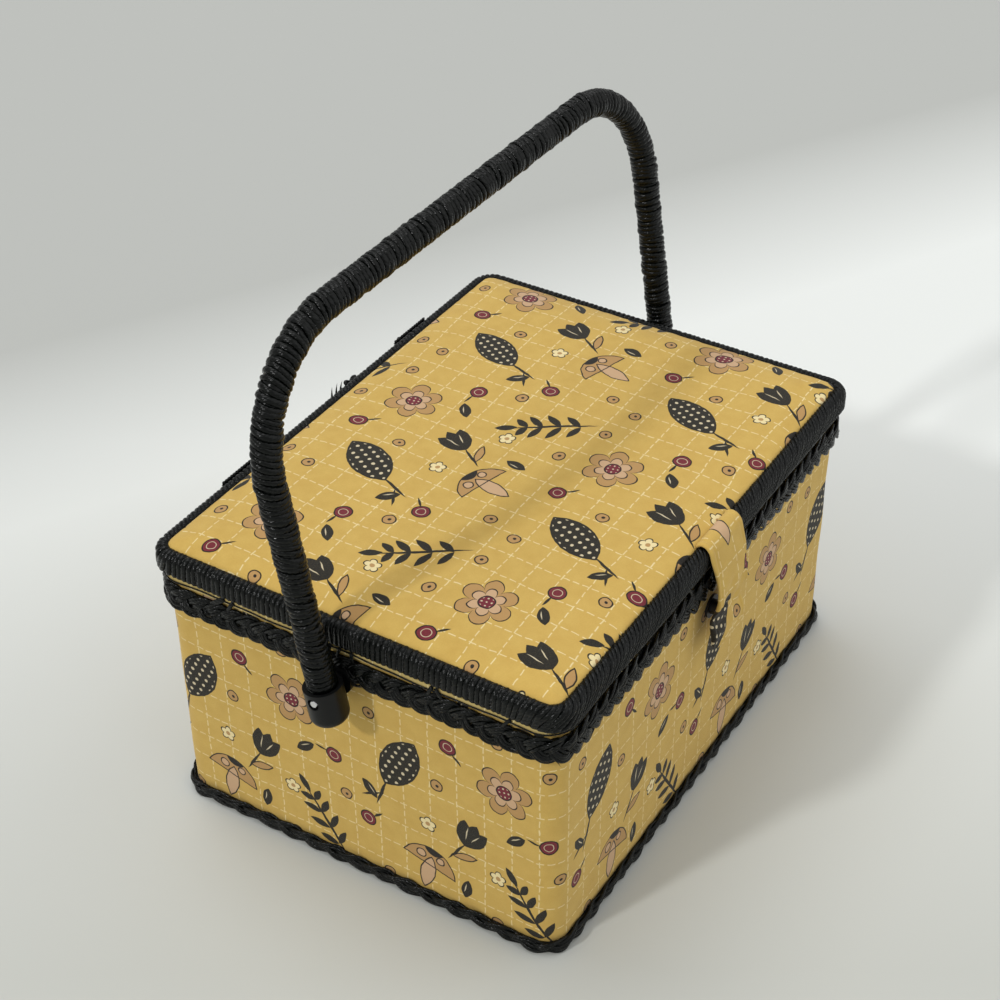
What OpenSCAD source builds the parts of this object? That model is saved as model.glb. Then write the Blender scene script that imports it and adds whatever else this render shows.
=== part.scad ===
// Fabric covered sewing carrier: a box with one padded lid hinged along its back edge,
// a cord wound bail handle on two side pivots, a press tab and a lift-out tray.
// Origin: centre of the underside. +X along the long front, +Y to the hinges, +Z up.

/* [Case] */
// Width of the case over its fabric
case_w = 305; // [240:1:380]
// Depth of the case over its fabric
case_d = 228; // [180:1:290]
// Height of the wall boards' top edge
case_h = 149; // [115:1:200]
// Radius of the upright corners over the fabric
case_corner_r = 12.5; // [9:0.5:20]
// Thickness of the wall boards
board_t = 3; // [2:0.5:5]
// Thickness of the printed fabric on the walls
cover_t = 1; // [0.6:0.1:2]
// Thickness of the inner lining fabric
lining_t = 0.7; // [0.4:0.1:1.2]

/* [Base] */
// Thickness of the sheet under the base
base_cover_t = 0.8; // [0.5:0.1:2]
// Thickness of the base board
base_board_t = 3; // [2:0.5:5]
// Thickness of the padded floor
base_pad_t = 3; // [2:0.5:6]

/* [Braids and edge binding] */
// Height of the braid round the foot of the walls
lower_braid_h = 9; // [6:0.5:14]
// How far the lower braid stands out of the wall
lower_braid_t = 4; // [2.5:0.5:6]
// Height of the braid round the top of the walls
upper_braid_h = 17.5; // [12:0.5:22]
// How far the upper braid stands out of the wall
upper_braid_t = 5; // [3:0.5:7]
// Height of the fabric strip between the upper braid and the walls' top edge
binding_h = 3; // [2:0.5:6]
// How far that strip stands out of the wall
binding_out = 2; // [1:0.5:2.5]
// Thickness of the strip where it folds over the top edge
binding_t = 0.6; // [0.4:0.1:1]

/* [Lid] */
// How far the lid's fabric edge lies inside the case's sides
lid_inset_x = 2.5; // [1:0.5:4]
// How far the lid's fabric edge lies inside the case's front and back
lid_inset_y = 1.75; // [1:0.25:4]
// Corner radius of the lid's fabric edge
lid_corner_r = 7; // [5:0.5:12]
// Width of the wound rim outside the fabric edge
rim_t = 6.5; // [5:0.5:9]
// Height of the wound rim
rim_h = 13.7; // [11:0.1:18]
// Thickness of the cord wound round the rim
rim_cord_t = 1.3; // [0.8:0.1:2]
// Thickness of the lid board
lid_board_t = 3; // [2:0.5:5]
// Thickness of the fabric over the lid's padding
lid_cover_t = 1; // [0.6:0.1:2]
// Rise of the padded top in the middle of the lid
lid_crown = 4.5; // [2:0.5:9]
// Thickness of the padded lining panel under the lid
lid_lining_t = 2.4; // [1.5:0.1:4]
// Gap between the lid and the case when the lid is shut
lid_seat_gap = 0.3; // [0.2:0.1:0.6]

/* [Handle] */
// Height of the bar's centreline over the pivots, along the handle
handle_h = 176.3; // [150:0.1:220]
// Radius of the handle's upper corners, at the centreline
handle_corner_r = 60; // [40:1:75]
// Outward splay of each leg, in degrees
handle_splay = 1.4; // [0:0.1:3]
// Backward lean of the handle as it stands, in degrees
handle_lean = 9.1; // [0:0.1:20]
// Radius of the bent rod inside the winding
rod_r = 5.2; // [4:0.1:6]
// Thickness of the cord wound round the rod
handle_cord_t = 2.3; // [1.5:0.1:3]
// Number of ribs of the winding
handle_ribs = 150; // [60:1:150]

/* [Handle pivots] */
// Drop of the pivots below the walls' top edge
pivot_drop = 18; // [15:0.5:20]
// Offset of the pivots behind the middle of the case
pivot_y = 3.5; // [-10:0.5:10]
// Radius of the handle's end caps
cap_r = 9.8; // [9.2:0.1:12]
// Length of an end cap below the pivot
cap_below = 16; // [13:0.5:20]
// Length of an end cap above the pivot
cap_above = 5.5; // [5:0.5:9]
// Radius of the spacer between cap and wall
boss_r = 7.5; // [6:0.5:9]
// Radius of the rivet's shank
rivet_r = 1.5; // [1.2:0.1:2]
// Radius of the rivet's bright outer head
rivet_head_r = 2.4; // [2.2:0.1:3.5]

/* [Hinges] */
// Distance of each hinge from the middle of the case
hinge_x = 78; // [50:1:90]
// Width of a hinge
hinge_w = 30; // [20:1:40]
// Radius of the hinge pin
hinge_pin_r = 1.2; // [0.9:0.1:1.4]
// Radius of the cord loops round the pin
hinge_loop_r = 2.8; // [2.4:0.1:3.4]
// Thickness of the stitched pads that carry the loops
hinge_pad_t = 1.3; // [1:0.1:1.6]
// Height of each stitched pad
hinge_pad_h = 10; // [6:0.5:10]

/* [Closing tab] */
// Width of the tab
tab_w = 34; // [24:1:44]
// Thickness of the folded fabric
tab_t = 2.4; // [1.6:0.1:3]
// Height of the tab's lower end below the walls' top edge
tab_drop = 51; // [46:1:70]
// Radius of the snap's two halves
snap_r = 6.5; // [5:0.5:8]
// Drop of the snap below the walls' top edge
snap_drop = 33.5; // [32:0.5:38]

/* [Tray] */
// Height of the tray's ledge below the walls' top edge
tray_drop = 47; // [40:1:60]
// Depth of the tray below its flange
tray_depth = 28; // [18:1:40]
// Thickness of the tray's walls and floor
tray_wall = 1.6; // [1.2:0.1:3]
// Thickness of the inner boards that carry the tray
ledge_t = 2.5; // [2:0.5:4]
// Finger gap at each end of the tray
tray_finger_gap = 10; // [6:1:20]

/* [Hidden] */
$fn = 64;

// Clearances
rest_gap = 0.3;      // between pieces of bodies that move apart
glue_gap = 0.05;     // between bonded pieces
running_gap = 0.06;  // round a pin that turns
press_gap = 0.02;    // round a pin that stays
eps = 0.01;          // overlap that joins two shapes

// Case
board_w = case_w - 2 * cover_t;
board_d = case_d - 2 * cover_t;
board_corner_r = case_corner_r - cover_t;
inner_w = board_w - 2 * board_t;
inner_d = board_d - 2 * board_t;
inner_corner_r = board_corner_r - board_t;
room_w = inner_w - 2 * lining_t;
room_d = inner_d - 2 * lining_t;
room_corner_r = inner_corner_r - lining_t;
base_board_top = base_cover_t + base_board_t;
base_pad_top = base_board_top + base_pad_t;
upper_braid_top = case_h - binding_h;

// Lid
lid_w = case_w - 2 * lid_inset_x;
lid_d = case_d - 2 * lid_inset_y;
rim_bottom = case_h + binding_t + lid_seat_gap;
rim_top = rim_bottom + rim_h;
lid_board_bottom = rim_bottom + rest_gap;
lid_board_top = lid_board_bottom + lid_board_t;
rim_top_round = 5;
rim_bottom_round = 2.5;
frame_inset = rim_cord_t + glue_gap;
lining_margin = 5;
pocket_w = 190;
pocket_d = 76;
pocket_bulge = 7;
pocket_y = -38;
pincushion_r = 23;
pincushion_h = 9;
pincushion_at = [lid_w / 2 - 64, lid_d / 2 - 60.25];

// Rings of points that draw the padded lid, from its edge to its middle
pad_insets = [0, 1.5, 4, 8, 15, 27, 45, 70, 95];
pad_arc_steps = 4;
pad_long_steps = 7;
pad_short_steps = 5;
pad_edge_drop = 0.6;

// Hinge
hinge_y = case_d / 2 + upper_braid_t + 0.4 + hinge_loop_r;
hinge_z = case_h - 0.7;
hinge_loops = 5;
hinge_loop_gap = 0.4;
hinge_pitch = hinge_w / hinge_loops;
hinge_leaf_clear = hinge_loop_r + 0.5;

// Handle
pivot_z = case_h - pivot_drop;
leg_x = case_w / 2 + upper_braid_t + 0.75 + cap_r;
winding_r = rod_r + handle_cord_t;
winding_valley = 0.7;
leg_len = (handle_h - handle_corner_r * (1 + sin(handle_splay))) / cos(handle_splay);
arc_deg = 90 + handle_splay;
arc_len = handle_corner_r * arc_deg * PI / 180;
arc_x = leg_x + leg_len * sin(handle_splay) - handle_corner_r * cos(handle_splay);
arc_z = leg_len * cos(handle_splay) + handle_corner_r * sin(handle_splay);
half_len = leg_len + arc_len + arc_x;
rod_tail = 8.5;
bend_lap = 0.5;
bend_thinning = 0.1;
cap_recess = 2.5;
cap_round = 5.5;
winding_start = cap_above - cap_recess + 0.1;
bore_sides = 8;
bore_arc_steps = 10;
rivet_head_t = 1;
rivet_well_r = rivet_head_r + 0.7;
rivet_well_depth = 1.6;
washer_r = 6;
washer_t = 0.9;
rivet_tail_r = 3;
rivet_tail_t = 1.2;
boss_x = leg_x - cap_r - boss_r * sin(handle_splay) - rest_gap;

// Closing tab: the middle line of its fabric, from the lid's edge down the front
tab_front = case_d / 2 + upper_braid_t;
rim_front = lid_d / 2 + rim_t;
tab_hinge_y = -(rim_front + rest_gap + tab_t / 2 + 0.2);
tab_hinge_z = rim_top - 6.2;
snap_z = case_h - snap_drop;
tab_end_z = case_h - tab_drop;
snap_socket_t = 1.9;
snap_face_y = -(tab_front + rest_gap);
tab_snap_y = snap_face_y - snap_socket_t - tab_t / 2;
tab_line = [[tab_hinge_y, tab_hinge_z],
            [tab_hinge_y - 2.4, tab_hinge_z - 8],
            [tab_hinge_y - 4, tab_hinge_z - 17],
            [tab_hinge_y - 4, tab_hinge_z - 25],
            [tab_snap_y - 0.4, snap_z + snap_r + 1],
            [tab_snap_y, snap_z + snap_r],
            [tab_snap_y, snap_z - snap_r],
            [tab_snap_y - 1.2, snap_z - snap_r - 6],
            [tab_snap_y - 1.4, tab_end_z]];
root_line = [[-(lid_d / 2 - 0.5), rim_top + rest_gap + tab_t / 2],
             [-(rim_front - rim_top_round + 0.6), rim_top + rest_gap + tab_t / 2],
             [-(rim_front - rim_top_round + 3.6), rim_top + tab_t / 2 - 0.8],
             [tab_hinge_y + 0.3, tab_hinge_z + 3.2],
             [tab_hinge_y, tab_hinge_z + tab_t / 2 + rest_gap]];
tab_corner_r = 9;

// Tray
ledge_z = case_h - tray_drop;
tray_w = room_w - 2 * tray_finger_gap;
tray_d = room_d - 2 * ledge_t - 1.6;
tray_flange_d = room_d - 1.2;
tray_flange_t = 1.8;
tray_top = ledge_z + tray_flange_t;
tray_corner_r = 8;
tray_floor_z = ledge_z - tray_depth;
tray_split_y = -18;
tray_split_x = 48;
divider_t = 1.4;
divider_h = tray_depth - 3;

// Flat outline with rounded corners
module outline(w, d, r) {
    square([w - 2 * r, d], center = true);
    square([w, d - 2 * r], center = true);
    for (sx = [-1, 1], sy = [-1, 1])
        translate([sx * (w / 2 - r), sy * (d / 2 - r)]) circle(r);
}

// Upright plate of that outline
module plate(w, d, r, z0, z1) {
    translate([0, 0, z0]) linear_extrude(z1 - z0) outline(w, d, r);
}

// Upright tube between that outline and the same one moved in by t
module tube(w, d, r, t, z0, z1) {
    translate([0, 0, z0]) linear_extrude(z1 - z0) difference() {
        outline(w, d, r);
        outline(w - 2 * t, d - 2 * t, r - t);
    }
}

// Runs a profile round the outline: its x points outwards, its y up
module run_round(w, d, r) {
    for (k = [0 : 3]) {
        across = k % 2 == 0 ? w : d;
        along = k % 2 == 0 ? d : w;
        rotate(90 * k) {
            translate([across / 2, 0, 0]) rotate([90, 0, 0])
                linear_extrude(along - 2 * r, center = true) children();
            translate([across / 2 - r, along / 2 - r, 0])
                rotate_extrude(angle = 90) translate([r, 0]) children();
        }
    }
}

// Profile of a band, flat inside, with its outer corners rounded
module band(t, h, top_r, bottom_r) {
    translate([0, bottom_r]) square([t, h - top_r - bottom_r]);
    translate([0, 0]) square([t - bottom_r, bottom_r + eps]);
    translate([0, h - top_r - eps]) square([t - top_r, top_r + eps]);
    intersection() {
        translate([t - bottom_r, bottom_r]) circle(bottom_r);
        square([t, bottom_r + eps]);
    }
    intersection() {
        translate([t - top_r, h - top_r]) circle(top_r);
        translate([0, h - top_r - eps]) square([t, top_r + eps]);
    }
}

// Bore through both side walls on the pivot line
module pivot_bores(r) {
    translate([0, pivot_y, pivot_z]) rotate([0, 90, 0]) cylinder(r = r, h = case_w + 40, center = true);
}

// The case: boards, fabric and lining

module base_cover() {
    color("black") plate(case_w, case_d, case_corner_r, 0, base_cover_t);
}

module base_board() {
    color("tan") plate(inner_w, inner_d, inner_corner_r, base_cover_t, base_board_top);
}

module base_pad() {
    color("ivory")
        plate(room_w - 2 * glue_gap, room_d - 2 * glue_gap, room_corner_r - glue_gap,
              base_board_top, base_pad_top);
}

module wall_boards() {
    color("tan") difference() {
        tube(board_w, board_d, board_corner_r, board_t, base_cover_t, case_h);
        pivot_bores(rivet_r + press_gap);
    }
}

module wall_cover() {
    color("goldenrod") difference() {
        tube(case_w, case_d, case_corner_r, cover_t, base_cover_t, case_h);
        pivot_bores(rivet_r + press_gap);
    }
}

module wall_lining() {
    color("ivory") difference() {
        tube(inner_w, inner_d, inner_corner_r, lining_t, base_board_top, case_h);
        pivot_bores(rivet_r + press_gap);
    }
}

module ledge_boards() {
    color("ivory")
        tube(room_w - 2 * glue_gap, room_d - 2 * glue_gap, room_corner_r - glue_gap, ledge_t,
             base_pad_top, ledge_z);
}

// Folded strip over the walls' top edge; it stands out above the braid
module edge_binding() {
    color("khaki") difference() {
        plate(case_w + 2 * binding_out, case_d + 2 * binding_out, case_corner_r + binding_out,
              upper_braid_top, case_h + binding_t);
        plate(case_w, case_d, case_corner_r, upper_braid_top - 1, case_h);
        plate(room_w, room_d, room_corner_r, case_h - 1, case_h + 1 + binding_t);
    }
}

module lower_braid() {
    color("black") run_round(case_w, case_d, case_corner_r)
        band(lower_braid_t, lower_braid_h, lower_braid_t * 0.8, lower_braid_t * 0.5);
}

module upper_braid() {
    color("black") difference() {
        translate([0, 0, upper_braid_top - upper_braid_h]) run_round(case_w, case_d, case_corner_r)
            band(upper_braid_t, upper_braid_h, upper_braid_t * 0.6, upper_braid_t * 0.7);
        pivot_bores(boss_r + glue_gap);
    }
}

// Half of the snap that is fixed to the front wall
module snap_stud() {
    foot_t = 1.2;
    reach = tab_front - case_d / 2;
    color("dimgray") translate([0, -case_d / 2, snap_z]) rotate([90, 0, 0]) {
        cylinder(r = snap_r, h = foot_t);
        cylinder(r = snap_r * 0.62, h = reach);
    }
}

// Pivots of the handle

module on_side(s) {
    if (s > 0) children();
    else mirror([1, 0, 0]) children();
}

// Spacer on the wall, with the rivet through it
module pivot_boss(s) {
    color("black") on_side(s) translate([0, pivot_y, pivot_z]) rotate([0, 90, 0]) difference() {
        translate([0, 0, case_w / 2]) cylinder(r = boss_r, h = boss_x - case_w / 2);
        cylinder(r = rivet_r + press_gap, h = case_w);
    }
}

// Rivet: bright head in the cap's well, shank through rod, cap, spacer and wall
module rivet(s) {
    head_x = leg_x + cap_r - rivet_well_depth;
    tail_x = room_w / 2 - washer_t;
    color("silver") on_side(s) translate([0, pivot_y, pivot_z]) rotate([0, 90, 0]) {
        translate([0, 0, tail_x - rivet_tail_t])
            cylinder(r = rivet_r, h = head_x - tail_x + rivet_tail_t + eps);
        translate([0, 0, head_x]) cylinder(r1 = rivet_head_r, r2 = rivet_head_r * 0.7, h = rivet_head_t);
        translate([0, 0, tail_x - rivet_tail_t]) cylinder(r = rivet_tail_r, h = rivet_tail_t);
    }
}

module rivet_washers() {
    color("silver") for (s = [-1, 1]) on_side(s)
        translate([room_w / 2 - washer_t, pivot_y, pivot_z]) rotate([0, 90, 0]) difference() {
            cylinder(r = washer_r, h = washer_t);
            translate([0, 0, -1]) cylinder(r = rivet_r + press_gap, h = washer_t + 2);
        }
}

// Hinges: stitched pads with cord loops round a pin

// Loops of one hinge: every second one, from the first or the second
module hinge_loop_row(first, pad_inner_y, up) {
    for (k = [first : 2 : hinge_loops - 1]) {
        x0 = -hinge_w / 2 + k * hinge_pitch + hinge_loop_gap / 2;
        len = hinge_pitch - hinge_loop_gap;
        translate([x0, hinge_y, hinge_z]) rotate([0, 90, 0]) cylinder(r = hinge_loop_r, h = len);
        translate([x0, pad_inner_y, up > 0 ? hinge_z : hinge_z - hinge_leaf_clear - eps])
            cube([len, hinge_y - pad_inner_y, hinge_leaf_clear + eps]);
    }
}

module hinge_pad(first, pad_inner_y, up, bore_r) {
    difference() {
        union() {
            hinge_loop_row(first, pad_inner_y, up);
            translate([-hinge_w / 2, pad_inner_y,
                       up > 0 ? hinge_z + hinge_leaf_clear : hinge_z - hinge_leaf_clear - hinge_pad_h])
                cube([hinge_w, hinge_pad_t, hinge_pad_h]);
        }
        translate([-hinge_w, hinge_y, hinge_z]) rotate([0, 90, 0]) cylinder(r = bore_r, h = 2 * hinge_w);
    }
}

module hinge_pads_case() {
    color("black") for (s = [-1, 1]) translate([s * hinge_x, 0, 0])
        hinge_pad(0, case_d / 2 + upper_braid_t + glue_gap, -1, hinge_pin_r + press_gap);
}

module hinge_pads_lid() {
    color("black") for (s = [-1, 1]) translate([s * hinge_x, 0, 0])
        hinge_pad(1, rim_front + glue_gap, 1, hinge_pin_r + running_gap);
}

module hinge_pins() {
    color("gray") for (s = [-1, 1]) translate([s * hinge_x, hinge_y, hinge_z])
        rotate([0, 90, 0]) cylinder(r = hinge_pin_r, h = hinge_w + 1, center = true);
}

// The lid

module lid_board() {
    color("tan") plate(lid_w - 2 * glue_gap, lid_d - 2 * glue_gap, lid_corner_r,
                       lid_board_bottom, lid_board_top);
}

// Cane hoop that stiffens the lid's edge
module lid_frame() {
    color("tan") translate([0, 0, rim_bottom + frame_inset]) run_round(lid_w, lid_d, lid_corner_r)
        band(rim_t - frame_inset, rim_h - 2 * frame_inset,
             rim_top_round - frame_inset, rim_bottom_round - frame_inset);
}

// Cord wound over the hoop, open towards the board
module lid_rim_cord() {
    color("black") translate([0, 0, rim_bottom]) run_round(lid_w, lid_d, lid_corner_r) difference() {
        band(rim_t, rim_h, rim_top_round, rim_bottom_round);
        translate([-1, rim_cord_t])
            square([rim_t - rim_top_round + 1, rim_h - 2 * rim_cord_t]);
        translate([0, rim_cord_t])
            band(rim_t - rim_cord_t, rim_h - 2 * rim_cord_t,
                 rim_top_round - rim_cord_t, rim_bottom_round - rim_cord_t);
    }
}

// Points of one ring of the padded top, moved in by an inset, at height z
function pad_side(a, b, steps) = [for (i = [1 : steps - 1]) a + (b - a) * i / steps];
function pad_corner(cx, cy, r, start) =
    [for (i = [0 : pad_arc_steps]) [cx + r * cos(start + 90 * i / pad_arc_steps),
                                    cy + r * sin(start + 90 * i / pad_arc_steps)]];
function pad_flat_ring(w, d, r) =
    let (x = w / 2 - r, y = d / 2 - r)
    concat(pad_corner(x, y, r, 0), pad_side([x, y + r], [-x, y + r], pad_long_steps),
           pad_corner(-x, y, r, 90), pad_side([-x - r, y], [-x - r, -y], pad_short_steps),
           pad_corner(-x, -y, r, 180), pad_side([-x, -y - r], [x, -y - r], pad_long_steps),
           pad_corner(x, -y, r, 270), pad_side([x + r, -y], [x + r, y], pad_short_steps));
function pad_rise(inset) =
    let (edge = min(1, inset / 30), far = inset / last_inset)
    -pad_edge_drop
        + (lid_crown + pad_edge_drop) * (0.8 * (1 - pow(1 - edge, 3)) + 0.2 * (1 - pow(1 - far, 2)));
last_inset = pad_insets[len(pad_insets) - 1];
pad_scale = lid_d / 224.5;
pad_ring_size = 4 * (pad_arc_steps + 1) + 2 * (pad_long_steps - 1) + 2 * (pad_short_steps - 1);
function pad_top(z, gap) = concat(
    [for (t = pad_insets) let (inset = t * pad_scale + gap)
        for (p = pad_flat_ring(lid_w - 2 * inset, lid_d - 2 * inset, max(1.2, lid_corner_r - inset)))
            [p[0], p[1], z + pad_rise(t)]],
    [[0, 0, z + lid_crown]]);
function pad_flat(z, gap) = concat(
    [for (p = pad_flat_ring(lid_w - 2 * gap, lid_d - 2 * gap, lid_corner_r - gap)) [p[0], p[1], z]],
    [[0, 0, z]]);

// Triangles between two rings of n points that start at a and b, and over the last ring
function ring_band(a, b, n) =
    [for (i = [0 : n - 1]) let (j = (i + 1) % n) each [[a + i, b + i, a + j], [a + j, b + i, b + j]]];
function flipped(faces) = [for (f = faces) [f[2], f[1], f[0]]];
function cap_faces(ring, centre, n) = [for (i = [0 : n - 1]) [ring + i, centre, ring + (i + 1) % n]];
function pad_top_faces(base) =
    let (n = pad_ring_size, rings = len(pad_insets))
    concat([for (k = [0 : rings - 2]) each ring_band(base + k * n, base + (k + 1) * n, n)],
           cap_faces(base + (rings - 1) * n, base + rings * n, n));

// Foam on the board, crowned and drawn in at its edges
module lid_padding() {
    n = pad_ring_size;
    foam_z = rim_top - lid_cover_t - glue_gap;
    top = pad_top(foam_z, 0.5);
    floor_ring = len(top);
    color("white") polyhedron(concat(top, pad_flat(lid_board_top + glue_gap, 0.5)),
        concat(pad_top_faces(0), ring_band(floor_ring, 0, n),
               flipped(cap_faces(floor_ring, floor_ring + n, n))));
}

// Printed fabric over the foam, turned down at the rim
module lid_cover() {
    outside = pad_top(rim_top, 0.1);
    inside = len(outside);
    color("goldenrod") polyhedron(concat(outside, pad_top(rim_top - lid_cover_t, 0.1)),
        concat(pad_top_faces(0), flipped(pad_top_faces(inside)), ring_band(inside, 0, pad_ring_size)));
}

module lid_lining() {
    color("ivory") plate(room_w - 2 * lining_margin, room_d - 2 * lining_margin, room_corner_r,
                         lid_board_bottom - lid_lining_t, lid_board_bottom);
}

// Gathered pocket under the lid, deeper at its middle than at its seams
module lid_pocket() {
    top = lid_board_bottom - lid_lining_t - glue_gap;
    color("linen") translate([0, pocket_y, top]) mirror([0, 0, 1]) hull() {
        linear_extrude(0.5) square([pocket_w, pocket_d], center = true);
        translate([0, -4, pocket_bulge - 1]) linear_extrude(1) offset(14)
            square([pocket_w - 66, pocket_d - 56], center = true);
    }
}

module lid_pincushion() {
    top = lid_board_bottom - lid_lining_t - glue_gap;
    ball_r = (pincushion_r * pincushion_r + pincushion_h * pincushion_h) / (2 * pincushion_h);
    color("firebrick") translate([pincushion_at[0], pincushion_at[1], top]) intersection() {
        translate([0, 0, ball_r - pincushion_h]) sphere(ball_r);
        translate([0, 0, -pincushion_h - 1]) cylinder(r = pincushion_r + 1, h = pincushion_h + 1);
    }
}

// The closing tab: a strip of folded fabric, its root on the rim and its flap on a fold line

function unit(v) = v / norm(v);
function line_normal(line, i) =
    let (a = line[max(0, i - 1)], b = line[min(len(line) - 1, i + 1)], t = unit(b - a)) [-t[1], t[0]];
function strip(line, t) =
    concat([for (i = [0 : len(line) - 1]) line[i] + line_normal(line, i) * t / 2],
           [for (i = [len(line) - 1 : -1 : 0]) line[i] - line_normal(line, i) * t / 2]);
function round_start(line, t) =
    let (n = line_normal(line, 0), back = unit(line[0] - line[1]))
    [for (a = [15 : 15 : 165]) line[0] + (back * sin(a) - n * cos(a)) * t / 2];

// Extrudes a shape drawn in (y, z) along X
module along_x(w) {
    rotate([90, 0, 90]) linear_extrude(w, center = true) children();
}

module tab_root() {
    color("goldenrod") along_x(tab_w) polygon(strip(root_line, tab_t));
}

module tab_flap() {
    color("goldenrod") intersection() {
        along_x(tab_w + 2) polygon(concat(strip(tab_line, tab_t), round_start(tab_line, tab_t)));
        translate([0, -case_d / 2, 0]) rotate([90, 0, 0]) linear_extrude(40) hull() {
            translate([-tab_w / 2, tab_hinge_z]) square([tab_w, tab_t]);
            for (s = [-1, 1]) translate([s * (tab_w / 2 - tab_corner_r), tab_end_z + tab_corner_r])
                circle(tab_corner_r, $fn = 32);
        }
    }
}

module snap_socket() {
    color("dimgray") translate([0, snap_face_y, snap_z]) rotate([90, 0, 0])
        cylinder(r = snap_r, h = snap_socket_t - glue_gap);
}

// The handle, drawn upright over its pivots and leaned back

module lean() {
    translate([0, pivot_y, pivot_z]) rotate([-handle_lean, 0, 0]) children();
}

// Frame of the right leg, with +Z up the leg
module on_leg() {
    translate([leg_x, 0, 0]) rotate([0, handle_splay, 0]) children();
}

module leg_bore(r) {
    rotate([0, 90, 0]) cylinder(r = r, h = 2 * leg_x + 60, center = true);
}

module handle_rod() {
    color("tan") lean() difference() {
        union() {
            for (s = [-1, 1]) on_side(s) {
                on_leg() translate([0, 0, -rod_tail]) cylinder(r = rod_r, h = leg_len + rod_tail + bend_lap);
                translate([arc_x, 0, arc_z]) rotate([90, 0, 0]) rotate(-handle_splay)
                    rotate_extrude(angle = arc_deg) translate([handle_corner_r, 0])
                        circle(rod_r - bend_thinning);
            }
            translate([-arc_x - bend_lap, 0, arc_z + handle_corner_r]) rotate([0, 90, 0])
                cylinder(r = rod_r, h = 2 * (arc_x + bend_lap));
        }
        leg_bore(rivet_r + running_gap);
    }
}

// Place and outward normal at a length s along the handle, from the left pivot to the right one
function half_place(s) =
    s <= leg_len ? [leg_x + s * sin(handle_splay), s * cos(handle_splay)] :
    s <= leg_len + arc_len ?
        let (a = -handle_splay + (s - leg_len) / handle_corner_r * 180 / PI)
        [arc_x + handle_corner_r * cos(a), arc_z + handle_corner_r * sin(a)] :
    [half_len - s, arc_z + handle_corner_r];
function half_angle(s) =
    s <= leg_len ? -handle_splay :
    s <= leg_len + arc_len ? -handle_splay + (s - leg_len) / handle_corner_r * 180 / PI : 90;
function place(s) =
    let (side = s <= half_len ? -1 : 1, h = side < 0 ? s : 2 * half_len - s,
         p = half_place(h), a = half_angle(h))
    [side * p[0], p[1], side * cos(a), sin(a)];
function ring_points(s, r) =
    let (p = place(s))
    [for (k = [0 : bore_sides - 1]) let (a = 360 * (k + 0.5) / bore_sides)
        [p[0] + r * cos(a) * p[2], -r * sin(a), p[1] + r * cos(a) * p[3]]];

// Cord wound round the rod: ribs outside, a plain bore inside
module handle_winding() {
    rib_pitch = (2 * half_len - 2 * winding_start) / handle_ribs;
    bore_r = (rod_r + 0.25) / cos(180 / bore_sides);
    outer = [for (i = [0 : 2 * handle_ribs]) winding_start + i * rib_pitch / 2];
    turns = [for (i = [0 : bore_arc_steps]) leg_len + arc_len * i / bore_arc_steps];
    inner = concat([winding_start], turns, [for (i = [bore_arc_steps : -1 : 0]) 2 * half_len - turns[i]],
                   [2 * half_len - winding_start]);
    outer_points = [for (i = [0 : len(outer) - 1])
        each ring_points(outer[i], winding_r - (i % 2 == 0 ? winding_valley : 0))];
    inner_points = [for (s = inner) each ring_points(s, bore_r)];
    n = bore_sides;
    o = len(outer_points);
    last_outer = (len(outer) - 1) * n;
    last_inner = o + (len(inner) - 1) * n;
    outer_faces = [for (i = [0 : len(outer) - 2]) each ring_band(i * n, (i + 1) * n, n)];
    inner_faces = [for (i = [0 : len(inner) - 2]) each ring_band(o + i * n, o + (i + 1) * n, n)];
    color("black") lean() polyhedron(concat(outer_points, inner_points),
        concat(outer_faces, flipped(inner_faces), ring_band(o, 0, n), ring_band(last_outer, last_inner, n)));
}

// Moulded cap: a turned shell with a rounded foot, a socket for the rod and a well for the rivet
module handle_cap(s) {
    color("black") lean() on_side(s) difference() {
        on_leg() difference() {
            rotate_extrude() {
                translate([0, -cap_below]) square([cap_r - cap_round, cap_round + eps]);
                translate([0, -cap_below + cap_round]) square([cap_r, cap_below + cap_above - cap_round]);
                intersection() {
                    translate([cap_r - cap_round, -cap_below + cap_round]) circle(cap_round);
                    translate([0, -cap_below]) square([cap_r, cap_round + eps]);
                }
            }
            translate([0, 0, -rod_tail - 0.3]) cylinder(r = rod_r + glue_gap, h = rod_tail + cap_above + 1);
            translate([0, 0, cap_above - cap_recess]) cylinder(r = winding_r + 0.35, h = cap_recess + 1);
        }
        leg_bore(rivet_r + running_gap);
        translate([leg_x + cap_r - rivet_well_depth - 0.1, 0, 0]) rotate([0, 90, 0])
            cylinder(r = rivet_well_r, h = 10);
    }
}

// The tray

module tray() {
    color("whitesmoke") difference() {
        union() {
            plate(tray_w, tray_d, tray_corner_r, tray_floor_z, tray_top);
            plate(tray_w, tray_flange_d, tray_corner_r, ledge_z + 0.05, tray_top);
        }
        plate(tray_w - 2 * tray_wall, tray_d - 2 * tray_wall, tray_corner_r - tray_wall,
              tray_floor_z + tray_wall, tray_top + 1);
    }
}

module divider(len, x, y, turn) {
    translate([x, y, tray_floor_z + tray_wall + glue_gap]) rotate(turn)
        translate([-len / 2, -divider_t / 2, 0]) cube([len, divider_t, divider_h]);
}

module tray_long_divider() {
    color("white") divider(tray_w - 2 * tray_wall - 0.4, 0, tray_split_y, 0);
}

module tray_short_dividers() {
    front = -(tray_d / 2 - tray_wall);
    back = -front;
    rear_len = back - tray_split_y - divider_t / 2 - 0.4;
    color("white") for (s = [-1, 1])
        divider(rear_len, s * tray_split_x, tray_split_y + divider_t / 2 + 0.2 + rear_len / 2, 90);
}

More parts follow.
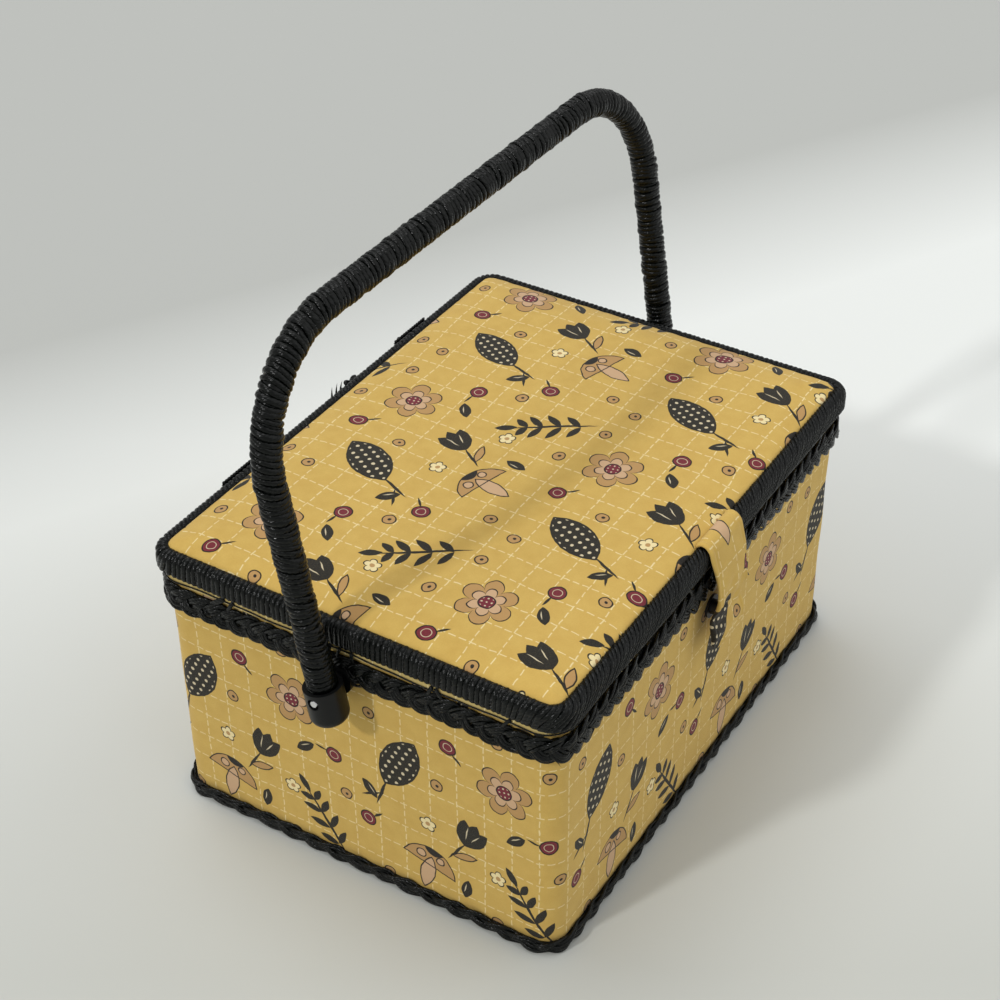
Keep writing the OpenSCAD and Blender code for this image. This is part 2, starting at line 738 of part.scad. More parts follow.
base_cover();
base_board();
base_pad();
wall_boards();
wall_cover();
wall_lining();
ledge_boards();
edge_binding();
lower_braid();
upper_braid();
snap_stud();
pivot_boss(-1);  // pivot_boss_left
pivot_boss(1);  // pivot_boss_right
rivet(-1);  // rivet_left
rivet(1);  // rivet_right
rivet_washers();
hinge_pads_case();
hinge_pins();
lid_board();
lid_frame();
lid_rim_cord();
lid_padding();
lid_cover();
lid_lining();
lid_pocket();
lid_pincushion();
hinge_pads_lid();
tab_root();
tab_flap();
snap_socket();
handle_rod();
handle_winding();
handle_cap(-1);  // handle_cap_left
handle_cap(1);  // handle_cap_right
tray();
tray_long_divider();
tray_short_dividers();
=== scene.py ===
"""The looks of a fabric covered sewing carrier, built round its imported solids.

Lengths are in millimetres. They become metres where a mesh is made.
The frame has +X along the long front, +Y towards the hinges and +Z up.
"""

import logging
import math
from dataclasses import dataclass, field
from enum import Enum
from typing import Optional, Sequence, Union

import bpy
import numpy as np
from mathutils import Matrix, Vector


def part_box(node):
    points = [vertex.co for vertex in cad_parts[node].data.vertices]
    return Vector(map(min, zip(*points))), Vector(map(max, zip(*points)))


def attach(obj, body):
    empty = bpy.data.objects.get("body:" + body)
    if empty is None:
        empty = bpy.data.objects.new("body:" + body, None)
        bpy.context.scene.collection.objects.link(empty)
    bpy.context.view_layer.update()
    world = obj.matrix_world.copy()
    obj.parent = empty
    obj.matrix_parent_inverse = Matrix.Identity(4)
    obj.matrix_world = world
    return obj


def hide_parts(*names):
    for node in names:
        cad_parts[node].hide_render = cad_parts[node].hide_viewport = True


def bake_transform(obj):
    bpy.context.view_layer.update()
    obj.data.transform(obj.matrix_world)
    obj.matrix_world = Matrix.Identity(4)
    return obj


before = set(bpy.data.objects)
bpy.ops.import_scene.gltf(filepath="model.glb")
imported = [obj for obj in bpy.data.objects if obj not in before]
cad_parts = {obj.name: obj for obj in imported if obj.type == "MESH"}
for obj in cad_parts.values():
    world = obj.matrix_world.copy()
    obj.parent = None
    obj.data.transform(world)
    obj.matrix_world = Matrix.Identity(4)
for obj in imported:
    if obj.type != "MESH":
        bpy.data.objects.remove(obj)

MM = 0.001
TURN = 2 * math.pi
LOG = logging.getLogger("carrier")

Colour = tuple[float, float, float]
Point2 = tuple[float, float]
Point3 = tuple[float, float, float]
Array = np.ndarray
Operand = Union["Wire", float, int]

X_WAY: Point3 = (1.0, 0.0, 0.0)
Y_WAY: Point3 = (0.0, 1.0, 0.0)
Z_WAY: Point3 = (0.0, 0.0, 1.0)


def srgb(red: int, green: int, blue: int) -> Colour:
    """Turn a display colour of 0 to 255 into a linear one.

    Args:
        red: Red, 0 to 255.
        green: Green, 0 to 255.
        blue: Blue, 0 to 255.

    Returns:
        The linear colour.
    """
    def linear(value: int) -> float:
        """Undo the display curve."""
        share = value / 255
        return share / 12.92 if share <= 0.04045 else ((share + 0.055) / 1.055) ** 2.4

    return linear(red), linear(green), linear(blue)


def scaled(colour: Colour, share: float) -> Colour:
    """Darken or lighten a linear colour."""
    return tuple(min(1.0, part * share) for part in colour)


class Wire:
    """A shader socket that takes part in arithmetic."""

    def __init__(self, sheet: "NodeSheet", socket: bpy.types.NodeSocket) -> None:
        """Remember the socket and the sheet that it is on."""
        self.sheet = sheet
        self.socket = socket

    def math(self, operation: str, *values: Operand, clamp: bool = False) -> "Wire":
        """Add one Math node.

        Args:
            operation: Name of the node's operation.
            values: The values or links of its inputs, in order.
            clamp: Whether the result is kept from 0 to 1.

        Returns:
            The node's result.
        """
        settings = {"operation": operation, "use_clamp": clamp}
        return self.sheet.node("ShaderNodeMath", settings, dict(enumerate(values)))

    def vector(self, operation: str, *values: Union["Wire", Point3], output: int = 0) -> "Wire":
        """Add one Vector Math node whose first input is this wire.

        Args:
            operation: Name of the node's operation.
            values: The values or links of its further inputs.
            output: 0 for a vector, 1 for a number.

        Returns:
            The node's result.
        """
        inputs = dict(enumerate((self, *values)))
        return self.sheet.node("ShaderNodeVectorMath", {"operation": operation}, inputs, output)

    def part(self, way: Point3) -> "Wire":
        """How far a vector reaches along a direction."""
        return self.vector("DOT_PRODUCT", way, output=1)

    def wrapped(self, half: float) -> "Wire":
        """The place in a cell that repeats and reaches this far either way."""
        return self.vector("WRAP", (half,) * 3, (-half,) * 3)

    def __add__(self, other: Operand) -> "Wire":
        """Sum."""
        return self.math("ADD", self, other)

    __radd__ = __add__

    def __sub__(self, other: Operand) -> "Wire":
        """Difference."""
        return self.math("SUBTRACT", self, other)

    def __rsub__(self, other: Operand) -> "Wire":
        """Difference from a number."""
        return self.math("SUBTRACT", other, self)

    def __mul__(self, other: Operand) -> "Wire":
        """Product."""
        return self.math("MULTIPLY", self, other)

    __rmul__ = __mul__

    def __abs__(self) -> "Wire":
        """Size without sign."""
        return self.math("ABSOLUTE", self)

    def sine(self, cycles: float) -> "Wire":
        """Sine of the value, with this many cycles per unit."""
        turned = self.math("MULTIPLY", self, TURN * cycles)
        return self.math("SINE", turned)

    def inside(self, soft: float = 0.22) -> "Wire":
        """Mask that is 1 where a distance is below 0, with an edge this soft."""
        return self.math("MULTIPLY_ADD", self, -1 / soft, 0.5, clamp=True)


def nearest(distances: Sequence[Wire]) -> Wire:
    """Join shapes: the smallest of several distances.

    Args:
        distances: Signed distances to the shapes.

    Returns:
        The distance to the nearest shape.
    """
    result = distances[0]
    for other in distances[1:]:
        result = result.math("MINIMUM", result, other)
    return result


def common(first: Wire, second: Wire) -> Wire:
    """Keep only what two shapes share."""
    return first.math("MAXIMUM", first, second)


class NodeSheet:
    """A node tree and the shader that it ends in."""

    def __init__(self, tree: bpy.types.NodeTree, shader: str) -> None:
        """Take over a tree.

        Args:
            tree: The tree of a material or world.
            shader: Name of its shader node.
        """
        self.tree = tree
        self.shader = tree.nodes[shader]

    def node(
        self,
        kind: str,
        settings: Optional[dict] = None,
        values: Optional[dict] = None,
        output: Union[int, str] = 0,
    ) -> Wire:
        """Add any node.

        Args:
            kind: The node's type.
            settings: Its settings, which are set first.
            values: Values or wires for its inputs, by name or place.
            output: Name or place of the output to return.

        Returns:
            That output.
        """
        made = self.tree.nodes.new(kind)
        for name, value in (settings or {}).items():
            setattr(made, name, value)
        for name, value in (values or {}).items():
            if isinstance(value, Wire):
                self.tree.links.new(value.socket, made.inputs[name])
            else:
                made.inputs[name].default_value = value
        return Wire(self, made.outputs[output])

    def attribute(self, name: str) -> Wire:
        """Read a vector that the mesh carries."""
        return self.node("ShaderNodeAttribute", {"attribute_name": name}, None, "Vector")

    def object_mm(self) -> Wire:
        """Place on the object, in millimetres."""
        place = self.node("ShaderNodeTexCoord", None, None, "Object")
        return place.vector("MULTIPLY", (1 / MM,) * 3)

    def noise(self, place: Wire, grain: float, detail: float = 2.0, colour: bool = False) -> Wire:
        """Add a noise.

        Args:
            place: Where on the piece, in millimetres.
            grain: Size of its patches, in millimetres.
            detail: How many finer layers it has.
            colour: Whether to return three values in place of one.

        Returns:
            The noise, about 0.5 on average.
        """
        values = {"Vector": place, "Scale": 1 / grain, "Detail": detail, "Roughness": 0.55}
        return self.node("ShaderNodeTexNoise", None, values, "Color" if colour else "Fac")

    def mix(self, factor: Operand, first: Union[Wire, Colour], second: Union[Wire, Colour]) -> Wire:
        """Mix two colours.

        Args:
            factor: Share of the second colour.
            first: The colour at 0.
            second: The colour at 1.

        Returns:
            The mixed colour.
        """
        def rgba(value: Union[Wire, Colour]) -> Union[Wire, tuple]:
            """Give a fixed colour its fourth value."""
            return value if isinstance(value, Wire) else (*value, 1.0)

        values = {0: factor, 6: rgba(first), 7: rgba(second)}
        return self.node("ShaderNodeMix", {"data_type": "RGBA"}, values, 2)

    def feed(self, socket: str, value: Union[Wire, float, Colour]) -> None:
        """Set or link one input of the shader.

        Args:
            socket: Name of the input.
            value: A number, a colour or a wire.
        """
        if isinstance(value, Wire):
            self.tree.links.new(value.socket, self.shader.inputs[socket])
        elif isinstance(value, tuple):
            self.shader.inputs[socket].default_value = (*value, 1.0)
        else:
            self.shader.inputs[socket].default_value = value

    def bump(self, height: Wire, depth_mm: float, strength: float = 1.0) -> None:
        """Raise the surface by a height of 0 to 1.

        Args:
            height: The height.
            depth_mm: How high 1 stands.
            strength: Strength of the effect.
        """
        values = {"Height": height, "Distance": depth_mm * MM, "Strength": strength}
        self.feed("Normal", self.node("ShaderNodeBump", None, values, "Normal"))


@dataclass(frozen=True)
class Finish:
    """A finish with one colour, fine grain and even gloss."""

    name: str
    colour: Colour
    roughness: float = 0.5
    metallic: float = 0.0
    specular: float = 0.5
    grain_mm: float = 1.2
    relief_mm: float = 0.03
    tone: float = 0.12

    def build(self) -> bpy.types.Material:
        """Make the material.

        Returns:
            The finished material.
        """
        material = bpy.data.materials.new(self.name)
        material.use_nodes = True
        sheet = NodeSheet(material.node_tree, "Principled BSDF")
        sheet.feed("Metallic", self.metallic)
        sheet.feed("Specular IOR Level", self.specular)
        self.surface(sheet)
        return material

    def surface(self, sheet: NodeSheet) -> None:
        """Fill the sheet for this finish.

        Args:
            sheet: The sheet to fill.
        """
        place = sheet.object_mm()
        broad = sheet.noise(place, self.grain_mm * 14, 3)
        fine = sheet.noise(place, self.grain_mm, 3)
        dark, light = scaled(self.colour, 1 - self.tone), scaled(self.colour, 1 + self.tone)
        sheet.feed("Base Color", sheet.mix(broad * 0.7 + fine * 0.3, dark, light))
        sheet.feed("Roughness", fine * 0.16 + (self.roughness - 0.08))
        sheet.bump(fine, self.relief_mm)


class Ink(Enum):
    """The inks of the print, in the order in which they lie on each other."""

    CREAM = "cream"
    TAN = "tan"
    BLUSH = "blush"
    WINE = "wine"
    CHARCOAL = "charcoal"
    HIGHLIGHT = "highlight"


class Spot:
    """A place on the printed repeat, turned its own way, to draw shapes at."""

    def __init__(self, cloth: Wire, repeat: float, at: Point2, turn: float) -> None:
        """Move and turn the cloth's own measure.

        Args:
            cloth: Place on the cloth, in millimetres.
            repeat: Size of the repeat.
            at: The spot's place in the repeat.
            turn: Its turn in degrees.
        """
        local = cloth.vector("SUBTRACT", (*at, 0.0)).wrapped(repeat / 2)
        if turn:
            settings = {"rotation_type": "Z_AXIS"}
            values = {"Vector": local, "Angle": -math.radians(turn)}
            local = local.sheet.node("ShaderNodeVectorRotate", settings, values)
        self.local = local

    def disc(self, centre: Point2, radius: float) -> Wire:
        """Distance to a disc."""
        return self.local.vector("DISTANCE", (*centre, 0.0), output=1) - radius

    def leaf(self, start: Point2, end: Point2, half_width: float) -> Wire:
        """Distance to a pointed leaf, which is also a tapered stroke.

        Args:
            start: One tip.
            end: The other tip.
            half_width: Half the width at its middle.

        Returns:
            The distance.
        """
        a, b = Vector(start), Vector(end)
        half = (b - a).length / 2
        radius = (half * half + half_width * half_width) / (2 * half_width)
        middle = (a + b) / 2
        side = Vector((-(b - a).y, (b - a).x)).normalized() * (radius - half_width)
        rims = [
            self.local.vector("DISTANCE", (*(middle + s * side), 0.0), output=1)
            for s in (-1, 1)
        ]
        return common(*rims) - radius

    def dots(self, pitch: float, radius: float) -> Wire:
        """Distance to an endless field of dots."""
        return self.local.wrapped(pitch / 2).vector("LENGTH", output=1) - radius

    def blossom(self, centre: Point2, petals: int, inner: float, outer: float) -> Wire:
        """Distance to a flower with round petals.

        Args:
            centre: Its middle.
            petals: Number of petals.
            inner: Radius between the petals.
            outer: Radius at their tips.

        Returns:
            The distance.
        """
        moved = self.local.vector("SUBTRACT", (*centre, 0.0))
        across, up = moved.part(X_WAY), moved.part(Y_WAY)
        angle = across.math("ARCTAN2", up, across)
        wave = abs(angle.math("COSINE", angle * (petals / 2)))
        reach = wave.math("POWER", wave, 0.6) * (outer - inner) + inner
        return moved.vector("LENGTH", output=1) - reach

    def beyond(self, direction: Point2, distance: float) -> Wire:
        """Distance to the half plane that starts this far out in a direction."""
        return distance - self.local.part((*direction, 0.0))


class ScatterPrint:
    """A scattered print of leaves, blossoms, toadstools and berries over one repeat."""

    line = 0.36

    def __init__(self, cloth: Wire, repeat: float) -> None:
        """Draw every motif.

        Args:
            cloth: Place on the cloth, in millimetres.
            repeat: Size of the repeat.
        """
        self.cloth = cloth
        self.repeat = repeat
        self.shapes: dict[Ink, list[Wire]] = {ink: [] for ink in Ink}
        self.spotted_leaf((27, 84), 62)
        self.flower((88, 99), 12)
        self.sprig((104, 22), 118)
        self.toadstool((44, 26), -14)
        self.tulip((68, 58), -24)
        for at, turn in (((8, 40), 20), ((112, 73), 150), ((57, 113), -70)):
            self.berry(at, turn)
        for at in ((12, 113), (50, 84), (118, 50), (20, 8), (84, 6), (112, 118)):
            self.small_blossom(at)
        for at in ((84, 38), (44, 55)):
            self.pale_blossom(at)
        for at, turn in (((94, 70), 35), ((10, 62), -50), ((66, 20), 80)):
            self.drop(at, turn)

    def spot(self, at: Point2, turn: float = 0.0) -> Spot:
        """Go to a place in the repeat."""
        return Spot(self.cloth, self.repeat, at, turn)

    def add(self, ink: Ink, *distances: Wire) -> None:
        """Print shapes in an ink."""
        self.shapes[ink].extend(distances)

    def outlined(self, ink: Ink, distance: Wire) -> None:
        """Print a shape in an ink, with a charcoal line round it."""
        self.add(ink, distance)
        self.add(Ink.CHARCOAL, abs(distance) - self.line)

    def spotted_leaf(self, at: Point2, turn: float) -> None:
        """A broad charcoal leaf with pale dots, on a forked stem.

        Args:
            at: The leaf's place in the repeat, in millimetres.
            turn: Its turn in degrees.
        """
        spot = self.spot(at, turn)
        blade = spot.leaf((-16, 0), (24, 0), 10.5)
        self.add(Ink.CHARCOAL, blade)
        self.add(Ink.CHARCOAL, spot.leaf((-34, -3), (-12, 0), 0.9))
        self.add(Ink.CHARCOAL, spot.leaf((-36, 6), (-24, -1.5), 0.9))
        self.add(Ink.HIGHLIGHT, common(spot.dots(4.6, 0.95), blade + 1.3))

    def flower(self, at: Point2, turn: float) -> None:
        """A tan flower with a wine heart.

        Args:
            at: The flower's place in the repeat, in millimetres.
            turn: Its turn in degrees.
        """
        spot = self.spot(at, turn)
        self.outlined(Ink.TAN, spot.blossom((0, 0), 6, 8.5, 15.5))
        self.outlined(Ink.BLUSH, spot.blossom((0, 0), 6, 5.0, 9.5))
        self.outlined(Ink.WINE, spot.disc((0, 0), 4.2))
        self.add(Ink.HIGHLIGHT, common(spot.dots(2.6, 0.5), spot.disc((0, 0), 3.6)))

    def sprig(self, at: Point2, turn: float) -> None:
        """A charcoal sprig with paired leaves.

        Args:
            at: The sprig's place in the repeat, in millimetres.
            turn: Its turn in degrees.
        """
        spot = self.spot(at, turn)
        self.add(Ink.CHARCOAL, spot.leaf((-24, -2), (24, 1), 0.9))
        for x, reach in ((-14, 9), (-4, 10), (6, 9), (14, 7)):
            for side in (-1, 1):
                tip = (x + reach * 0.8, side * reach)
                self.add(Ink.CHARCOAL, spot.leaf((x, 0), tip, 2.1))
        self.add(Ink.CHARCOAL, spot.leaf((19, 0), (31, 1), 2.2))

    def toadstool(self, at: Point2, turn: float) -> None:
        """A tan toadstool on a pale foot.

        Args:
            at: The toadstool's place in the repeat, in millimetres.
            turn: Its turn in degrees.
        """
        spot = self.spot(at, turn)
        self.outlined(Ink.BLUSH, spot.leaf((0, 6), (1, -17), 4.2))
        cap = common(spot.disc((0, -4), 16), spot.beyond((0, 1), 0))
        self.outlined(Ink.TAN, cap)
        self.outlined(Ink.BLUSH, common(spot.disc((-6, 5), 2.6), cap + 0.6))
        self.outlined(Ink.BLUSH, common(spot.disc((5, 6.5), 2.2), cap + 0.6))
        self.add(Ink.CHARCOAL, common(spot.disc((0, 14), 6.4), cap))

    def tulip(self, at: Point2, turn: float) -> None:
        """A charcoal tulip on a thin stem.

        Args:
            at: The tulip's place in the repeat, in millimetres.
            turn: Its turn in degrees.
        """
        spot = self.spot(at, turn)
        for tip in ((-7, 9), (0, 11), (7, 9)):
            self.add(Ink.CHARCOAL, spot.leaf((0, -8), tip, 4.4))
        self.add(Ink.CHARCOAL, spot.leaf((0, -6), (-3, -25), 0.8))
        self.outlined(Ink.TAN, spot.leaf((-2, -20), (9, -11), 2.3))
        self.add(Ink.HIGHLIGHT, spot.leaf((-1.5, -3), (-3.5, 6), 0.35))
        self.add(Ink.HIGHLIGHT, spot.leaf((1.8, -2), (3.8, 5), 0.35))

    def berry(self, at: Point2, turn: float) -> None:
        """A wine berry with a stem.

        Args:
            at: The berry's place in the repeat, in millimetres.
            turn: Its turn in degrees.
        """
        spot = self.spot(at, turn)
        self.outlined(Ink.WINE, spot.disc((0, 0), 4.5))
        self.add(Ink.HIGHLIGHT, abs(spot.disc((0, 0), 2.4)) - 0.18)
        self.add(Ink.CHARCOAL, spot.leaf((3.6, 1), (11, 4), 0.7))

    def small_blossom(self, at: Point2) -> None:
        """A small tan blossom with a dark heart.

        Args:
            at: The blossom's place in the repeat, in millimetres.
        """
        spot = self.spot(at)
        self.outlined(Ink.TAN, spot.disc((0, 0), 3.3))
        self.add(Ink.CHARCOAL, spot.disc((0.3, -0.2), 0.9))

    def pale_blossom(self, at: Point2) -> None:
        """A pale open blossom.

        Args:
            at: The blossom's place in the repeat, in millimetres.
        """
        spot = self.spot(at, 15)
        self.outlined(Ink.CREAM, spot.blossom((0, 0), 5, 2.6, 4.6))
        self.add(Ink.TAN, spot.disc((0, 0), 1.3))

    def drop(self, at: Point2, turn: float) -> None:
        """A charcoal drop with a pale glint.

        Args:
            at: The drop's place in the repeat, in millimetres.
            turn: Its turn in degrees.
        """
        spot = self.spot(at, turn)
        self.add(Ink.CHARCOAL, spot.leaf((-6, 0), (7, 0), 3.1))
        self.add(Ink.HIGHLIGHT, spot.leaf((-2, 1), (4, 0.8), 0.3))


@dataclass(frozen=True)
class PrintedCotton(Finish):
    """Plain woven golden cotton with a dashed check, and a print where it is wanted."""

    colour: Colour = srgb(222, 188, 102)
    shade: Colour = srgb(209, 171, 86)
    roughness: float = 0.86
    specular: float = 0.25
    check_mm: float = 15.35
    checks_per_repeat: int = 8
    dash_pitch: float = 5.52
    dash_mm: float = 3.9
    line_mm: float = 0.6
    origin: Point2 = (0.0, 0.0)
    printed: bool = True
    thread_mm: float = 0.5
    inks: dict = field(
        default_factory=lambda: {
            Ink.CREAM: srgb(240, 222, 168),
            Ink.TAN: srgb(186, 146, 92),
            Ink.BLUSH: srgb(206, 170, 132),
            Ink.WINE: srgb(116, 34, 50),
            Ink.CHARCOAL: srgb(28, 29, 28),
            Ink.HIGHLIGHT: srgb(214, 200, 166),
        }
    )

    def checks(self, cloth: Wire) -> Wire:
        """Distance to the dashed lines of the check.

        Args:
            cloth: Place on the cloth, in millimetres.

        Returns:
            The distance.
        """
        lines = cloth.wrapped(self.check_mm / 2).vector("ABSOLUTE")
        dashes = cloth.wrapped(self.dash_pitch / 2).vector("ABSOLUTE")
        upright = common(lines.part(X_WAY) - self.line_mm / 2, dashes.part(Y_WAY) - self.dash_mm / 2)
        level = common(lines.part(Y_WAY) - self.line_mm / 2, dashes.part(X_WAY) - self.dash_mm / 2)
        return nearest([upright, level])

    def surface(self, sheet: NodeSheet) -> None:
        """Dye, print and weave the cotton.

        Args:
            sheet: The sheet to fill.
        """
        cloth = sheet.attribute("cloth").vector("SUBTRACT", (*self.origin, 0.0))
        wander = sheet.noise(cloth, 5.0, 1, colour=True)
        drawn = cloth.vector("ADD", wander.vector("MULTIPLY_ADD", (1.1, 1.1, 0.0), (-0.55, -0.55, 0.0)))
        patches = sheet.noise(cloth, 9.0, 4)
        fibres = sheet.noise(cloth, 0.75, 3)
        colour = sheet.mix(patches * 1.7 - 0.4, self.shade, self.colour)
        colour = sheet.mix(fibres * 0.44, colour, scaled(self.shade, 0.74))
        check = self.checks(drawn).inside(0.3) * (patches * 0.8 + 0.4)
        colour = sheet.mix(check, colour, self.inks[Ink.CREAM])
        if self.printed:
            design = ScatterPrint(drawn, self.check_mm * self.checks_per_repeat)
            for ink in Ink:
                mask = nearest(design.shapes[ink]).inside()
                faded = mask * (fibres * 0.12 + 0.92)
                colour = sheet.mix(faded, colour, self.inks[ink])
        sheet.feed("Base Color", colour)
        sheet.feed("Roughness", patches * 0.1 + (self.roughness - 0.05))
        sheet.feed("Sheen Weight", 0.12)
        warp, weft = (cloth.part(way).sine(1 / self.thread_mm) for way in (X_WAY, Y_WAY))
        sheet.bump(warp * weft * 0.35 + patches * 1.2 + fibres * 0.5, 0.1, 0.8)


@dataclass(frozen=True)
class PaperCord(Finish):
    """Glossy black cord, plied from thin twisted strips. The mesh carries its lay."""

    colour: Colour = srgb(3, 4, 3)
    # Lighter colour for painted glints along the fibres.
    glint: Colour = srgb(12, 16, 14)
    roughness: float = 0.24
    specular: float = 0.21
    strand_mm: float = 10.0
    plies: int = 4

    def surface(self, sheet: NodeSheet) -> None:
        """Ply the cord, paint glints along its fibres and polish it.

        Args:
            sheet: The sheet to fill.
        """
        lay = sheet.attribute("lay")
        along, round_it = lay.part(X_WAY), lay.part(Y_WAY)
        fibre = sheet.noise(lay.vector("MULTIPLY", (0.45, 20.0, 1.0)), 1.0, 3)
        kinks = sheet.noise(lay.vector("MULTIPLY", (0.9, 3.0, 1.0)), 1.0, 2)
        twist = abs((along * (1 / self.strand_mm) + round_it).sine(self.plies / 2))
        patches = sheet.noise(sheet.object_mm(), 6.0, 3)
        # Painted glints: fibre noise lightens the base colour toward the glint colour in streaks along the
        # cord.
        sheet.feed("Base Color", sheet.mix(fibre * 1.8 - 0.5, self.colour, self.glint))
        sheet.feed("Roughness", patches * 0.3 + kinks * 0.16 + (self.roughness - 0.24))
        sheet.bump(twist * 0.35 + fibre * 0.25 + kinks * 0.5, 0.3, 1.0)


@dataclass(frozen=True)
class Metal(Finish):
    """Bright metal with fine rubbed scratches."""

    metallic: float = 1.0

    def surface(self, sheet: NodeSheet) -> None:
        """Rub the metal.

        Args:
            sheet: The sheet to fill.
        """
        place = sheet.object_mm()
        scratches = sheet.noise(place.vector("MULTIPLY", (1.0, 1.0, 9.0)), 0.5, 4)
        sheet.feed("Base Color", sheet.mix(scratches * 0.5, self.colour, scaled(self.colour, 0.7)))
        sheet.feed("Roughness", scratches * 0.25 + self.roughness)
        sheet.bump(scratches, 0.01)


@dataclass(frozen=True)
class LiningSatin(Finish):
    """Pale lining fabric with a fine weave and a soft shine."""

    colour: Colour = srgb(228, 215, 188)
    roughness: float = 0.6

    def surface(self, sheet: NodeSheet) -> None:
        """Weave the lining.

        Args:
            sheet: The sheet to fill.
        """
        place = sheet.object_mm()
        broad = sheet.noise(place, 22.0, 3)
        threads = sheet.noise(place.vector("MULTIPLY", (1.0, 1.0, 4.0)), 0.7, 2)
        dark = scaled(self.colour, 0.86)
        sheet.feed("Base Color", sheet.mix(broad * 0.6 + threads * 0.4, dark, self.colour))
        sheet.feed("Roughness", threads * 0.2 + self.roughness)
        sheet.feed("Sheen Weight", 0.2)
        sheet.bump(threads + broad, 0.08)


class Palette:
    """All finishes of the carrier, made once."""

    def __init__(self) -> None:
        """Make each material."""
        self.wall_print = PrintedCotton("wall_print", origin=(12.8, -0.65)).build()
        self.lid_print = PrintedCotton("lid_print", origin=(-75.0, 97.0)).build()
        self.tab_print = PrintedCotton("tab_print", origin=(-42.0, -146.0)).build()
        self.strip = PrintedCotton(
            "strip_cotton", colour=srgb(216, 194, 128), shade=srgb(196, 172, 104), printed=False
        ).build()
        self.cord = PaperCord("black_cord").build()
        self.plastic = Finish(
            "moulded_black", srgb(13, 14, 14), 0.33, specular=0.25, grain_mm=0.5, relief_mm=0.012
        ).build()
        self.rivet = Metal("bright_rivet", srgb(235, 235, 238), 0.1).build()
        self.snap = Metal("dark_snap", srgb(70, 70, 74), 0.28).build()
        self.board = Finish("pressed_board", srgb(172, 142, 104), 0.85, relief_mm=0.1).build()
        self.cane = Finish("raw_cane", srgb(186, 150, 98), 0.6, grain_mm=0.9, relief_mm=0.1).build()
        self.lining = LiningSatin("lining").build()
        self.wadding = Finish("wadding", srgb(236, 234, 226), 0.95, relief_mm=0.5).build()
        self.sheet = Finish("base_sheet", srgb(38, 38, 38), 0.9, grain_mm=0.6, relief_mm=0.08).build()
        self.felt = Finish("pincushion_felt", srgb(142, 34, 44), 0.95, grain_mm=0.7, relief_mm=0.25).build()
        self.tray = Finish(
            "tray_plastic", srgb(230, 228, 222), 0.32, grain_mm=0.8, relief_mm=0.01, tone=0.02
        ).build()

    def dress_frame(self) -> None:
        """Give the solids that stay in view their finishes."""
        finishes = {
            self.board: ["base_board", "wall_boards", "lid_board"],
            self.cane: ["lid_frame", "handle_rod"],
            self.plastic: ["pivot_boss_left", "pivot_boss_right", "handle_cap_left", "handle_cap_right"],
            self.rivet: ["rivet_left", "rivet_right", "rivet_washers", "hinge_pins"],
            self.snap: ["snap_stud", "snap_socket"],
            self.tray: ["tray", "tray_long_divider", "tray_short_dividers"],
        }
        for material, names in finishes.items():
            for name in names:
                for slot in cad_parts[name].material_slots:
                    slot.material = material


def ripple(u: Array, v: Array, seed: int) -> Array:
    """Smooth uneven waves, the same on every run.

    Args:
        u: First place, in wave lengths.
        v: Second place, in wave lengths.
        seed: Which waves.

    Returns:
        Heights, mostly from -1 to 1.
    """
    waves, usual_height = 7, 1.2
    dice = np.random.default_rng(seed)
    total = np.zeros(np.broadcast(u, v).shape)
    for _ in range(waves):
        turn, phase = dice.uniform(0, TURN, 2)
        length = dice.uniform(0.6, 1.8)
        total = total + np.sin(TURN * length * (u * math.cos(turn) + v * math.sin(turn)) + phase)
    return total / math.sqrt(waves) / usual_height


def wobble(u: Array, seed: int) -> Array:
    """Smooth uneven waves along one line."""
    return ripple(u, np.zeros_like(u), seed)


def unit(vectors: Array) -> Array:
    """Scale vectors to length 1."""
    return vectors / np.maximum(np.linalg.norm(vectors, axis=-1, keepdims=True), 1e-9)


def bell(values: Array, middle: float, width: float) -> Array:
    """A smooth bump of height 1 round a middle value."""
    return np.exp(-(((values - middle) / width) ** 2))


def flows(lines: Array, closed: bool = False) -> Array:
    """Unit directions along lines of points.

    Args:
        lines: Points (lines, steps, 3).
        closed: Whether each line joins its own start.

    Returns:
        The direction at each point.
    """
    return unit(np.roll(lines, -1, 1) - np.roll(lines, 1, 1) if closed else np.gradient(lines, axis=1))


def lifted(points: Array, z: Union[Array, float]) -> Array:
    """Give level points their height."""
    return np.concatenate([points, np.broadcast_to(z, points.shape[:-1])[..., None]], -1)


